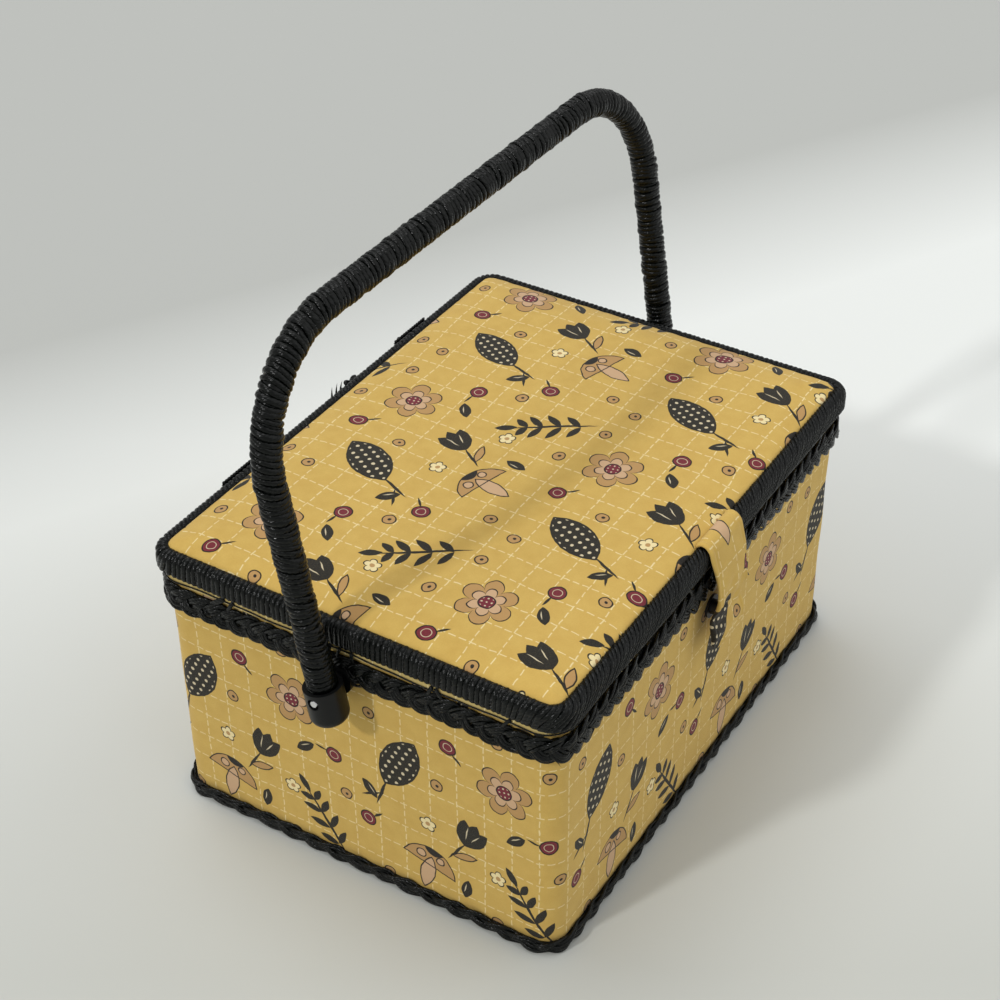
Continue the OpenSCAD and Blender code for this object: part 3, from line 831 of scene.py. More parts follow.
@dataclass(frozen=True)
class RoundedLoop:
    """A level loop with round corners, walked from the middle of the back by way of the left side."""

    half_x: float
    half_y: float
    corner: float

    @property
    def length(self) -> float:
        """Length of the whole loop."""
        return 2 * sum(self.sides()) + TURN * self.corner

    def sides(self) -> tuple[float, float]:
        """Lengths of the straight long and short sides."""
        return 2 * (self.half_x - self.corner), 2 * (self.half_y - self.corner)

    def moved(self, out: float) -> "RoundedLoop":
        """The loop moved outwards, with the same corner centres."""
        return RoundedLoop(self.half_x + out, self.half_y + out, self.corner + out)

    def corners(self) -> list[float]:
        """Find the four corners along the loop.

        Returns:
            Lengths at which the middles of the corners lie.
        """
        long, short = self.sides()
        bend = math.pi * self.corner / 2
        steps = [(long + bend) / 2, bend + short, bend + long, bend + short]
        return np.cumsum(steps).tolist()

    def at(self, s: Array) -> tuple[Array, Array]:
        """Points and outward normals at lengths along the loop.

        Args:
            s: Lengths from the middle of the back.

        Returns:
            Points (x, y) and normals (x, y).
        """
        s = np.mod(s, self.length)
        x, y, r = self.half_x - self.corner, self.half_y - self.corner, self.corner
        bend = math.pi * r / 2
        runs = [
            (x, (0, y + r), (-1, 0)), (2 * y, (-x - r, y), (0, -1)),
            (2 * x, (-x, -y - r), (1, 0)), (2 * y, (x + r, -y), (0, 1)), (x, (x, y + r), (-1, 0)),
        ]
        middles = [(-x, y), (-x, -y), (x, -y), (x, y)]
        points = np.zeros((*s.shape, 2))
        normals = np.zeros((*s.shape, 2))
        start = 0.0
        for k, (run, origin, way) in enumerate(runs):
            here = (s >= start) & (s <= start + run + 1e-9)
            step = (s - start)[..., None] * np.array(way, float)
            points = np.where(here[..., None], np.array(origin, float) + step, points)
            normals = np.where(here[..., None], np.array((way[1], -way[0]), float), normals)
            start += run
            if k < len(middles):
                here = (s > start) & (s < start + bend)
                angle = math.pi / 2 * (k + 1) + (s - start) / max(r, 1e-6)
                spoke = np.stack([np.cos(angle), np.sin(angle)], -1)
                points = np.where(here[..., None], np.array(middles[k], float) + r * spoke, points)
                normals = np.where(here[..., None], spoke, normals)
                start += bend
        return points, normals


@dataclass
class Net:
    """Points in millimetres, faces, and the vectors that a finish reads."""

    points: Array
    faces: Union[Array, list]
    marks: dict[str, Array] = field(default_factory=dict)

    @staticmethod
    def quads(rows: int, columns: int, close_rows: bool, close_columns: bool, first: int = 0) -> Array:
        """Faces of a net of points.

        Args:
            rows: Number of rows.
            columns: Number of columns.
            close_rows: Whether the last row joins the first.
            close_columns: Whether the last column joins the first.
            first: Number of the net's first point.

        Returns:
            Four corner numbers a face.
        """
        i = np.arange(rows if close_rows else rows - 1)
        j = np.arange(columns if close_columns else columns - 1)
        ii, jj = np.meshgrid(i, j, indexing="ij")
        ni, nj = (ii + 1) % rows, (jj + 1) % columns
        corners = [ii * columns + jj, ii * columns + nj, ni * columns + nj, ni * columns + jj]
        return np.stack(corners, -1).reshape(-1, 4) + first

    @classmethod
    def tube(cls, points: Array, marks: dict[str, Array]) -> "Net":
        """Close a net whose columns run round and whose rows end.

        Args:
            points: Points (rows, columns, 3).
            marks: Vectors at each point, by name.

        Returns:
            The closed net.
        """
        rows, columns = points.shape[:2]
        faces = cls.quads(rows, columns, False, True).tolist()
        faces.append(list(range(columns))[::-1])
        faces.append([(rows - 1) * columns + k for k in range(columns)])
        return cls(points.reshape(-1, 3), faces, {name: v.reshape(-1, 3) for name, v in marks.items()})

    @classmethod
    def shell(cls, face: Array, back: Array, flip: bool = False, cloth: Optional[Array] = None) -> "Net":
        """Join a face and a back of one grid into a closed piece.

        Args:
            face: Points of the face (rows, columns, 3).
            back: Points of the back, of the same shape.
            flip: Whether the faces are turned over.
            cloth: The cloth's own measure at each point of the face.

        Returns:
            The closed net.
        """
        rows, columns = face.shape[:2]
        count = rows * columns
        front = cls.quads(rows, columns, False, False)
        rear = cls.quads(rows, columns, False, False, count)[:, ::-1]
        edge = [i * columns for i in range(rows)]
        edge += [(rows - 1) * columns + j for j in range(1, columns)]
        edge += [i * columns + columns - 1 for i in range(rows - 2, -1, -1)]
        edge += list(range(columns - 2, 0, -1))
        rim = [[a, b, b + count, a + count] for a, b in zip(edge, edge[1:] + edge[:1])]
        faces = np.concatenate([front, rear, np.array(rim)])
        if flip:
            faces = faces[:, ::-1]
        points = np.concatenate([face.reshape(-1, 3), back.reshape(-1, 3)])
        marks = {} if cloth is None else {"cloth": np.concatenate([cloth.reshape(-1, 3)] * 2)}
        return cls(points, faces, marks)

    @classmethod
    def strands(
        cls,
        centres: Array,
        across: Array,
        out: Array,
        half_across: Union[float, Array],
        half_out: Union[float, Array],
        sides: int = 8,
        closed: bool = False,
    ) -> "Net":
        """A bundle of cords, each an oval tube.

        Args:
            centres: Middle lines (cords, steps, 3).
            across: Unit vectors along the oval's width.
            out: Unit vectors along its thickness.
            half_across: Half its width.
            half_out: Half its thickness.
            sides: Sides of the oval.
            closed: Whether each cord joins its own start.

        Returns:
            The cords.
        """
        cords, steps = centres.shape[:2]
        turn = np.arange(sides) * TURN / sides
        wide = np.broadcast_to(np.asarray(half_across, float), (cords, steps))[..., None, None]
        deep = np.broadcast_to(np.asarray(half_out, float), (cords, steps))[..., None, None]
        ring_across = wide * np.cos(turn)[:, None] * across[:, :, None]
        ring_out = deep * np.sin(turn)[:, None] * out[:, :, None]
        points = centres[:, :, None] + (ring_across + ring_out)
        along = np.cumsum(np.linalg.norm(np.diff(centres, axis=1, prepend=centres[:, :1]), axis=2), axis=1)
        lay = np.zeros((cords, steps, sides, 3))
        lay[..., 0] = along[:, :, None]
        lay[..., 1] = (np.abs(np.arange(sides) - sides / 2) / sides)[None, None]
        lay[..., 2] = (np.arange(cords) * 7.31)[:, None, None]
        forward = np.cross(across[0, 0], out[0, 0]) @ (centres[0, 1] - centres[0, 0]) > 0
        faces: list[list[int]] = []
        for cord in range(cords):
            first = cord * steps * sides
            faces.extend(cls.quads(steps, sides, closed, True, first).tolist())
            if not closed:
                last = first + (steps - 1) * sides
                faces.append(list(range(first, first + sides))[::-1])
                faces.append(list(range(last, last + sides)))
        if not forward:
            faces = [face[::-1] for face in faces]
        return cls(points.reshape(-1, 3), faces, {"lay": lay.reshape(-1, 3)})

    @staticmethod
    def piece(name: str, material: bpy.types.Material, *nets: "Net") -> bpy.types.Object:
        """Make one object of one or more nets.

        Args:
            name: Name of the piece.
            material: Its finish.
            nets: What it is made of.

        Returns:
            The new object.
        """
        faces: list[tuple[int, ...]] = []
        start = 0
        for net in nets:
            faces.extend(tuple(number + start for number in face) for face in net.faces)
            start += len(net.points)
        mesh = bpy.data.meshes.new(name)
        mesh.from_pydata((np.concatenate([net.points for net in nets]) * MM).tolist(), [], faces)
        mesh.polygons.foreach_set("use_smooth", [True] * len(mesh.polygons))
        for mark in nets[0].marks:
            values = np.concatenate([net.marks[mark] for net in nets])
            layer = mesh.attributes.new(mark, "FLOAT_VECTOR", "POINT")
            layer.data.foreach_set("vector", values.reshape(-1).astype(np.float32))
        mesh.materials.append(material)
        mesh.validate()
        mesh.update()
        made = bpy.data.objects.new(name, mesh)
        bpy.context.scene.collection.objects.link(made)
        LOG.info("made %s with %d faces", name, len(mesh.polygons))
        return made


def mount(piece: bpy.types.Object, body: str, slot: str, *nodes: str) -> bpy.types.Object:
    """Ride a piece on a body and hide the nodes that it stands for.

    Args:
        piece: The piece.
        body: The body that it moves with.
        slot: The record's material slot; not used.
        nodes: The nodes that it replaces.

    Returns:
        The piece.
    """
    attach(piece, body)
    if nodes:
        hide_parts(*nodes)
    return piece


def cloth_sheet(piece: bpy.types.Object, wide: float, long: float, held: str, *under: str) -> None:
    """Work out the flat cloth's width and length in metres, and keep neither.

    Args:
        piece: The piece; not used.
        wide: Width of the flat cloth in millimetres.
        long: Its length.
        held: How it is held; not used.
        under: What it lies on; not used.
    """
    wide * MM
    long * MM


def run_round(loop: RoundedLoop, profile: Sequence[Point2], steps: int, mark: str) -> Net:
    """Run a closed profile round a loop.

    Args:
        loop: The loop.
        profile: Points (distance out, height), in order.
        steps: Points along the loop.
        mark: Name of the vector that the finish reads.

    Returns:
        The closed net.
    """
    s = np.arange(steps) * loop.length / steps
    points, normals = loop.at(s)
    outs, heights = (np.array(part, float) for part in zip(*profile))
    net = lifted(points[:, None] + normals[:, None] * outs[None, :, None], heights[None])
    measure = np.stack(np.broadcast_arrays(s[:, None], heights + outs, 0.0), -1)
    turning = sum(a[0] * b[1] - b[0] * a[1] for a, b in zip(profile, [*profile[1:], profile[0]]))
    faces = Net.quads(steps, len(profile), True, True)
    if turning > 0:
        faces = faces[:, ::-1]
    return Net(net.reshape(-1, 3), faces, {mark: measure.reshape(-1, 3)})


def rounded_grid(half_x: float, half_y: float, corner: float, pitch: float) -> tuple[Array, Array]:
    """A grid that fills a rectangle with round corners.

    Args:
        half_x: Half its width.
        half_y: Half its depth.
        corner: Radius of its corners.
        pitch: Size of a cell.

    Returns:
        Points (rows, columns, 2) and how far each lies inside the edge.
    """
    def stops(half: float) -> Array:
        """Space places along one side, closer in the corners.

        Args:
            half: Half the length of the side.

        Returns:
            Places from the middle of the side.
        """
        inner = half - corner
        count = max(2, round(2 * inner / pitch))
        fine = np.linspace(0, corner, 6)[1:]
        return np.concatenate([-inner - fine[::-1], np.linspace(-inner, inner, count), inner + fine])

    x, y = np.meshgrid(stops(half_x), stops(half_y), indexing="ij")
    a = np.clip(np.abs(x) - (half_x - corner), 0, None) / corner
    b = np.clip(np.abs(y) - (half_y - corner), 0, None) / corner
    round_x = np.sign(x) * (np.minimum(np.abs(x), half_x - corner) + corner * a * np.sqrt(1 - b * b / 2))
    round_y = np.sign(y) * (np.minimum(np.abs(y), half_y - corner) + corner * b * np.sqrt(1 - a * a / 2))
    dx = np.clip(np.abs(round_x) - (half_x - corner), 0, None)
    dy = np.clip(np.abs(round_y) - (half_y - corner), 0, None)
    straight = np.minimum(half_x - np.abs(round_x), half_y - np.abs(round_y))
    inset = np.where((dx > 0) & (dy > 0), corner - np.hypot(dx, dy), straight)
    return np.stack([round_x, round_y], -1), np.clip(inset, 0, None)


def node_box(name: str) -> tuple[Array, Array]:
    """Lowest and highest corner of a node, in millimetres."""
    low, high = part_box(name)
    return np.array(low) / MM, np.array(high) / MM


@dataclass
class Braid:
    """A three strand braid of bundled flat strips that runs round a loop."""

    loop: RoundedLoop
    middle_z: float
    period: float
    sway: float
    dip: float
    strips: int
    half_wide: float
    half_thick: float
    spread: float
    lowest: float
    seed: int
    steps_a_turn: int = 26

    def net(self) -> Net:
        """Lay the three strands over each other.

        Returns:
            The braid's strips.
        """
        length = self.loop.length
        turns = round(length / self.period)
        steps = turns * self.steps_a_turn
        s = np.arange(steps) * length / steps
        angle = TURN * turns * s / length
        points, normals = self.loop.at(s)
        normal3 = lifted(normals, 0.0)
        tangent3 = lifted(np.stack([-normals[:, 1], normals[:, 0]], -1), 0.0)
        around = TURN * s / length
        dice = np.random.default_rng(self.seed)
        centres, acrosses, outs = [], [], []

        def uneven(size: float) -> Array:
            """Slow waves that close on themselves round the loop.

            Args:
                size: Height of the waves.

            Returns:
                Heights along the loop.
            """
            waves = dice.integers(9, 60, 4)
            phases = dice.uniform(0, TURN, 4)
            return size * sum(np.sin(w * around + p) for w, p in zip(waves, phases)) / 2

        for strand in range(3):
            phase = angle + TURN * strand / 3 + uneven(0.16)
            z = self.middle_z + self.sway * np.sin(phase) + uneven(0.3)
            out = self.dip * np.sin(2 * phase) + uneven(0.15)
            slope = self.sway * np.cos(phase) * TURN * turns / length
            way = unit(tangent3 + slope[:, None] * np.array(Z_WAY))
            side = np.cross(normal3, way)
            for strip in range(self.strips):
                shift = (strip - (self.strips - 1) / 2) * self.spread + uneven(self.spread * 0.22)
                lift = -0.16 * np.abs(shift) + uneven(0.26)
                centre = lifted(points, z) + normal3 * (out + lift)[:, None] + side * shift[:, None]
                centre[:, 2] = np.maximum(centre[:, 2], self.lowest + self.half_wide)
                roll = uneven(0.5)[:, None]
                centres.append(centre)
                acrosses.append(side * np.cos(roll) + normal3 * np.sin(roll))
                outs.append(normal3 * np.cos(roll) - side * np.sin(roll))
        lines = (np.array(part) for part in (centres, acrosses, outs))
        return Net.strands(*lines, self.half_wide, self.half_thick, closed=True)


@dataclass
class Case:
    """The box: its printed walls, braids, edge strip, linings, floor pad and stitches."""

    palette: Palette
    width: float = 305.0
    depth: float = 228.0
    corner: float = 12.5
    height: float = 149.0
    foot: float = 0.8
    braid_bottom: float = 128.5
    board_inside: float = 4.0
    room_inside: float = 4.7
    floor_top: float = 3.8
    pad_top: float = 6.8
    ledge_top: float = 102.0
    ledge_thick: float = 2.45
    thread_r: float = 0.42
    seam_gap: float = 0.05
    seat_gap: float = 0.05
    columns: int = 430

    def __post_init__(self) -> None:
        """Lay out the wall's outline."""
        self.loop = RoundedLoop(self.width / 2, self.depth / 2, self.corner)

    def build(self) -> None:
        """Make every piece of the case."""
        self.base_sheet()
        self.wall_fabric()
        self.wall_lining()
        self.ledge()
        self.lower_braid()
        self.upper_braid()
        self.edge_strip()
        self.edge_stitches()
        self.floor_pad()

    def base_sheet(self) -> None:
        """Thin black sheet under the base, with a softly rounded edge."""
        xy, inset = rounded_grid(self.width / 2, self.depth / 2, self.corner, 6.0)
        edge_width, edge_round = 1.5, 0.25
        edge = edge_round * np.clip(1 - inset / edge_width, 0, 1)
        net = Net.shell(lifted(xy, self.foot - edge), lifted(xy, edge), flip=True)
        piece = Net.piece("base_sheet", self.palette.sheet, net)
        mount(piece, "case", "base_sheet", "base_cover")
        cloth_sheet(piece, self.width, self.depth, "laid", "base_board")

    def upright(self, out: float, thick: float, low: float, high: float, rows: int) -> tuple[Array, ...]:
        """Lay out a cloth that runs round the walls, with its ends meeting at the back.

        Args:
            out: How far its face stands outside the walls' outline.
            thick: Its thickness.
            low: Height of its lower edge.
            high: Height of its upper edge.
            rows: Points up its height.

        Returns:
            Lengths, heights and normals of its points, and the points of its face and back.
        """
        loop = self.loop.moved(out)
        s = np.linspace(self.seam_gap, loop.length - self.seam_gap, self.columns)
        ss, zz = np.meshgrid(s, np.linspace(low, high, rows), indexing="ij")
        points, normals = loop.at(ss)
        return ss, zz, lifted(normals, 0.0), lifted(points, zz), lifted(points - normals * thick, zz)

    def wall_fabric(self) -> None:
        """Printed fabric on the walls, drawn into small folds at the corners under the braid."""
        thick, fold_pitch, fold_height, fold_reach = 0.85, 4.1, 0.42, 13.0
        ss, zz, normals, face, back = self.upright(0.0, thick, self.foot, self.height, 54)
        near = sum(bell(ss, corner, fold_reach) for corner in self.loop.corners())
        under = np.exp(-np.clip(self.braid_bottom - zz, 0, None) / 20)
        waves = np.sin(TURN * ss / fold_pitch + 1.3 * ripple(ss / 30, zz / 40, 3))
        folds = fold_height * near * under * waves
        soft = 0.16 * ripple(ss / 70, zz / 55, 5) + 0.07 * ripple(ss / 14, zz / 60, 6) * under
        face = face + normals * (soft + folds - 0.12)[..., None]
        drift = 0.5 * ripple(ss / 150, zz / 150, 9)
        cloth = np.stack([ss + drift, zz + 0.7 * ripple(ss / 120, zz / 200, 10), np.zeros_like(ss)], -1)
        net = Net.shell(face, back, flip=True, cloth=cloth)
        piece = Net.piece("wall_fabric", self.palette.wall_print, net)
        mount(piece, "case", "printed_fabric", "wall_cover")
        cloth_sheet(piece, self.loop.length, self.height - self.foot, "stretched", "wall_boards")

    def wall_lining(self) -> None:
        """Lining on the inside of the walls."""
        outside, thick = -self.board_inside, self.room_inside - self.board_inside
        ss, zz, normals, face, back = self.upright(outside, thick, self.floor_top, self.height, 24)
        back = back - normals * (0.1 * ripple(ss / 70, zz / 60, 14))[..., None]
        piece = Net.piece("wall_lining_cloth", self.palette.lining, Net.shell(face, back, flip=True))
        mount(piece, "case", "lining_fabric", "wall_lining")
        around = self.loop.moved(-self.room_inside).length
        cloth_sheet(piece, around, self.height - self.floor_top, "stretched", "wall_boards")

    def ledge(self) -> None:
        """Covered boards on the walls that carry the tray."""
        face = -self.room_inside - self.seat_gap
        back = face - self.ledge_thick
        soft, low, high = 0.5, self.pad_top + self.seat_gap, self.ledge_top
        walls = [(back, z) for z in np.linspace(high - soft, low + soft, 14)]
        profile = [
            (face, low), (face, high - soft), (face - 0.2, high - 0.1), (face - soft, high),
            (back + soft, high), (back + 0.15, high - 0.15), *walls, (back + soft, low),
        ]
        net = run_round(self.loop, profile, 260, "cloth")
        piece = Net.piece("ledge_cloth", self.palette.lining, net)
        mount(piece, "case", "lining_fabric", "ledge_boards")

    def lower_braid(self) -> None:
        """Plump three strand braid round the foot of the walls."""
        braid = Braid(
            self.loop.moved(2.15), middle_z=4.7, period=45.0, sway=2.15, dip=0.95, strips=3,
            half_wide=0.95, half_thick=0.75, spread=1.3, lowest=0.05, seed=11,
        )
        core = run_round(self.loop, [(0.05, 2.0), (1.6, 2.4), (1.6, 6.6), (0.05, 7.0)], 220, "lay")
        piece = Net.piece("foot_braid", self.palette.cord, braid.net(), core)
        mount(piece, "case", "black_cord", "lower_braid")

    def upper_braid(self) -> None:
        """Flat braid of bundled strips round the top of the walls."""
        braid = Braid(
            self.loop.moved(2.6), middle_z=137.2, period=29.0, sway=4.5, dip=1.0, strips=4,
            half_wide=1.12, half_thick=0.66, spread=1.6, lowest=self.braid_bottom, seed=23,
        )
        core = run_round(self.loop, [(0.05, 131.4), (1.5, 132.0), (1.5, 142.4), (0.05, 143.2)], 220, "lay")
        piece = Net.piece("top_braid", self.palette.cord, braid.net(), core)
        mount(piece, "case", "black_cord", "upper_braid")

    def edge_strip(self) -> None:
        """Plain strip folded over the top edge of the walls."""
        inside = -self.room_inside
        profile = [
            (0.03, 146.0), (1.6, 146.0), (1.92, 146.5), (2.0, 147.6), (1.9, 148.8), (1.5, 149.4),
            (0.6, 149.58), (-2.0, 149.6), (inside + 0.3, 149.55), (inside, 149.3),
            (inside, 149.03), (-2.0, 149.03), (0.03, 149.03),
        ]
        piece = Net.piece("edge_strip", self.palette.strip, run_round(self.loop, profile, 300, "cloth"))
        mount(piece, "case", "strip_fabric", "edge_binding")

    def edge_stitches(self) -> None:
        """Black stitches over the edge strip, and the slack thread that runs along it."""
        loop = self.loop.moved(2.5)
        _, left, right, _ = loop.corners()
        middle_left = left - loop.sides()[1] / 2 - math.pi * loop.corner / 4
        middle_front = (left + right) / 2
        places = [
            (middle_left - 76, 9, 1.6), (middle_left - 68, 4, 1.1), (middle_left - 9, 1, 1.0),
            (middle_left - 4, 2, 0.9), (middle_left + 4, -1, 1.1), (middle_left + 47, 3, 1.0),
            (middle_left + 53, -5, 1.3), (middle_left + 88, 5, 0.9), (middle_front - 96, 5, 1.0),
            (middle_front - 30, -4, 1.1), (middle_front + 52, 3, 0.9), (middle_front + 118, 6, 1.2),
        ]
        stitch_foot, stitch_tall, stitch_half_thick = 142.5, 7.0, 0.45
        t = np.linspace(0, 1, 9)
        centres, outs, widths = [], [], []
        for s, lean, width in places:
            points, normals = loop.at(s + lean * (t - 0.5))
            bulge = 0.5 * np.sin(math.pi * t)
            centres.append(lifted(points + normals * bulge[:, None], stitch_foot + stitch_tall * t))
            outs.append(lifted(normals, 0.0))
            widths.append(width + 0 * t)
        centre, out = np.array(centres), np.array(outs)
        across = unit(np.cross(out, flows(centre)))
        stitches = Net.strands(centre, across, out, np.array(widths), stitch_half_thick)
        s = np.linspace(0, loop.length, 700)[:-1]
        points, normals = loop.at(s)
        around = TURN * s / loop.length
        slack_z, lowest, highest = 147.9, 146.9, 149.0
        sag = 0.5 * np.sin(5 * around + 1) + 0.45 * np.sin(13 * around) + 0.2 * np.sin(37 * around)
        thread = lifted(points, np.clip(slack_z + sag, lowest, highest))[None]
        normal3 = lifted(normals, 0.0)[None]
        side = unit(np.cross(normal3, flows(thread, closed=True)))
        slack = Net.strands(thread, side, normal3, self.thread_r, self.thread_r, sides=6, closed=True)
        mount(Net.piece("edge_stitches", self.palette.cord, stitches, slack), "case", "black_cord")

    def floor_pad(self) -> None:
        """Quilted pad on the floor of the box, with sewn squares."""
        panel = QuiltedPanel(*node_box("base_pad"), square=36.0, dimple=1.1, crown_up=True)
        piece = Net.piece("floor_pad", self.palette.lining, panel.net())
        mount(piece, "case", "lining_fabric", "base_pad")


@dataclass
class QuiltedPanel:
    """A soft panel with sewn squares and rounded edges."""

    low: Array
    high: Array
    square: float
    dimple: float
    crown_up: bool
    corner: float = 7.0
    edge_round: float = 4.0
    unevenness: float = 0.3
    cell: float = 2.6

    def net(self) -> Net:
        """Shape the panel.

        Returns:
            The closed panel.
        """
        half = (self.high - self.low)[:2] / 2
        middle = (self.high + self.low)[:2] / 2
        xy, inset = rounded_grid(half[0], half[1], self.corner, self.cell)
        edge = 1 - np.clip(1 - inset / self.edge_round, 0, 1) ** 2
        sx = np.abs(np.sin(math.pi * xy[..., 0] / self.square))
        sy = np.abs(np.sin(math.pi * xy[..., 1] / self.square))
        puff = 1 - np.clip(1 - np.minimum(sx, sy) * 2.6, 0, 1) ** 2
        thick = self.high[2] - self.low[2]
        uneven = self.unevenness * (1 + ripple(xy[..., 0] / 60, xy[..., 1] / 60, 8))
        soft = edge * (thick - self.dimple * (1 - puff) - uneven)
        base, way = (self.low[2], 1.0) if self.crown_up else (self.high[2], -1.0)
        face = lifted(xy + middle, base + way * np.clip(soft, 0.05, thick))
        return Net.shell(face, lifted(xy + middle, base), flip=self.crown_up)


@dataclass
class Lid:
    """The padded lid: fabric over wadding, a wound rim, and what is sewn under it."""

    palette: Palette
    width: float = 300.0
    depth: float = 224.5
    corner: float = 7.0
    top: float = 163.6
    bottom: float = 149.9
    rim: float = 6.5
    top_round: float = 5.0
    low_round: float = 2.5
    crown: float = 4.5
    edge_drop: float = 0.6
    strand_pitch: float = 3.0
    strand_half: float = 1.6
    rim_middle: float = 4.0
    core_depth: float = 0.8
    fabric_thick: float = 0.9

    def __post_init__(self) -> None:
        """Lay out the fabric's outline and the rim's outside."""
        self.loop = RoundedLoop(self.width / 2, self.depth / 2, self.corner)
        bends = [math.pi / 2 * radius for radius in (self.top_round, self.low_round)]
        side = self.top - self.bottom - self.top_round - self.low_round
        self.runs = [self.rim - self.top_round, bends[0], side, bends[1], self.rim - self.low_round]

    def build(self) -> None:
        """Make every piece of the lid."""
        self.cover()
        self.wadding()
        self.rim_winding()
        self.back_knots()
        self.lining_panel()
        self.pocket()
        self.pincushion()

    def rise(self, inset: Array) -> Array:
        """Raise the padding over the rim.

        Args:
            inset: Distances inside the lid's edge.

        Returns:
            Heights over the rim.
        """
        edge = np.clip(inset / 30, 0, 1)
        far = np.clip(inset / 95, 0, 1)
        swell = 0.8 * (1 - (1 - edge) ** 3) + 0.2 * (1 - (1 - far) ** 2)
        return -self.edge_drop + (self.crown + self.edge_drop) * swell

    def cover(self) -> None:
        """Printed fabric, drawn over the wadding and tucked in at the rim."""
        xy, inset = rounded_grid(self.width / 2 - 0.1, self.depth / 2 - 0.1, self.corner, 2.4)
        x, y = xy[..., 0], xy[..., 1]
        along_edge = np.where(np.abs(x) / self.width > np.abs(y) / self.depth, y, x)
        pucker = np.exp(-inset / 6) * 0.22 * ripple(along_edge / 10, inset / 30, 17)
        soft = 0.25 * ripple(x / 90, y / 80, 4) * np.clip(inset / 25, 0, 1)
        edge, tuck, tuck_thick, settle = inset < 0.02, 1.6, 0.4, 0.2
        z = np.where(edge, self.top - tuck, self.top + self.rise(inset) + pucker + soft - settle)
        back = np.where(edge, self.top - tuck - tuck_thick, z - self.fabric_thick)
        pull = np.exp(-inset / 30)
        drift_x = 1.2 * ripple(x / 170, y / 150, 21) + pull * 1.6 * ripple(x / 90, y / 60, 24)
        drift_y = 1.2 * ripple(x / 160, y / 170, 22) + pull * 1.6 * ripple(x / 60, y / 90, 25)
        cloth = lifted(xy + np.stack([drift_x, drift_y], -1), 0.0)
        net = Net.shell(lifted(xy, z), lifted(xy, back), flip=True, cloth=cloth)
        piece = Net.piece("lid_fabric", self.palette.lid_print, net)
        mount(piece, "lid", "printed_fabric", "lid_cover")
        cloth_sheet(piece, self.width, self.depth, "stretched", "lid_wadding")

    def wadding(self) -> None:
        """Foam between the board and the fabric."""
        low = node_box("lid_padding")[0][2]
        xy, inset = rounded_grid(self.width / 2 - 0.6, self.depth / 2 - 0.6, self.corner, 6.0)
        below = 1.65
        face = lifted(xy, self.top - below + self.rise(inset))
        piece = Net.piece("lid_wadding", self.palette.wadding, Net.shell(face, lifted(xy, low), flip=True))
        mount(piece, "lid", "foam", "lid_padding")

    def profile(self, t: Array, thick: Union[float, Array]) -> tuple[Array, Array, Array, Array]:
        """Walk round the outside of the rim, from the fabric's edge over the top to the underside.

        Args:
            t: Share of the way, 0 to 1.
            thick: How deep inside the rim's surface the walk lies.

        Returns:
            Distance out, height, and the outward direction in those two.
        """
        top_r, low_r, runs = self.top_round, self.low_round, self.runs
        s = t * sum(runs)
        ends = np.cumsum([0, *runs])
        a1 = np.clip((s - ends[1]) / runs[1], 0, 1) * math.pi / 2
        a2 = np.clip((s - ends[3]) / runs[3], 0, 1) * math.pi / 2
        down = np.clip(s - ends[2], 0, runs[2])
        start = np.clip(s, 0, runs[0])
        finish = np.clip(s - ends[4], 0, runs[4])
        out = start + top_r * np.sin(a1) - low_r * (1 - np.cos(a2)) - finish
        z = self.top - top_r * (1 - np.cos(a1)) - down - low_r * np.sin(a2)
        way_out = np.sin(a1) * np.cos(a2)
        way_up = np.cos(a1) - np.sin(a2)
        size = np.maximum(np.hypot(way_out, way_up), 1e-6)
        return out - thick * way_out / size, z - thick * way_up / size, way_out / size, way_up / size

    def strand_lean(self, s: Array) -> Array:
        """How far a strand moves along the rim on its way down: little at the sides, much in front.

        Args:
            s: Lengths along the fabric's outline.

        Returns:
            Millimetres over the whole way.
        """
        back_left, front_left, front_right, back_right = self.loop.corners()
        knots = [
            (0, -7), (back_left - 12, -7), (back_left + 25, -1), (front_left - 30, -1),
            (front_left + 22, -19), (front_right - 20, -19), (front_right + 40, -2),
            (back_right - 25, -2), (back_right + 12, -7), (self.loop.length, -7),
        ]
        return np.interp(s, *zip(*knots))

    def rim_winding(self) -> None:
        """Cord wound over the hoop, on a dark layer that closes the gaps."""
        loop = self.loop
        middle = loop.moved(self.rim_middle)
        count = round(middle.length / self.strand_pitch)
        dice = np.random.default_rng(41)
        share = (np.arange(count) + dice.uniform(-0.13, 0.13, count)) / count
        base = self.from_middle(share * middle.length, middle)
        first_share, last_share, half_thick = 0.055, 0.97, 1.0
        t = np.linspace(first_share, last_share, 21)
        thick = half_thick + dice.uniform(-0.16, 0.16, (count, 1))
        outer = self.profile(*np.broadcast_arrays(t, thick))
        dive = [(-1.7, -3.4, -0.45, 0.89), (-0.6, -2.5, -0.45, 0.89), (0.4, -1.55, -0.2, 0.97)]
        tucked = [np.broadcast_to(column, (count, 3)) for column in zip(*dive)]
        out, z, way_out, way_up = (np.concatenate(pair, 1) for pair in zip(tucked, outer))
        z[:, :3] += self.top
        t_all = np.concatenate([[-0.06, -0.02, 0.02], t])[None]
        lean = self.strand_lean(base) * (1 + dice.uniform(-0.07, 0.07, count))
        jitter = dice.uniform(-0.5, 0.5, (count, 1)) * np.sin(5 * t_all + dice.uniform(0, 6, (count, 1)))
        s = base[:, None] + lean[:, None] * (np.clip(t_all, 0, 0.8) - 0.3) + jitter
        points, normals = loop.at(s)
        centres = lifted(points + normals * out[..., None], z)
        out3 = unit(lifted(normals * way_out[..., None], way_up))
        flow = flows(centres)
        across = unit(np.cross(out3, flow))
        slope = np.cos(np.arctan(lean / sum(self.runs)))[:, None]
        uneven = 1 + dice.uniform(-0.1, 0.1, (count, 1))
        wide = self.strand_half * slope * uneven * (0.9 + 0.1 * np.sin(math.pi * t_all))
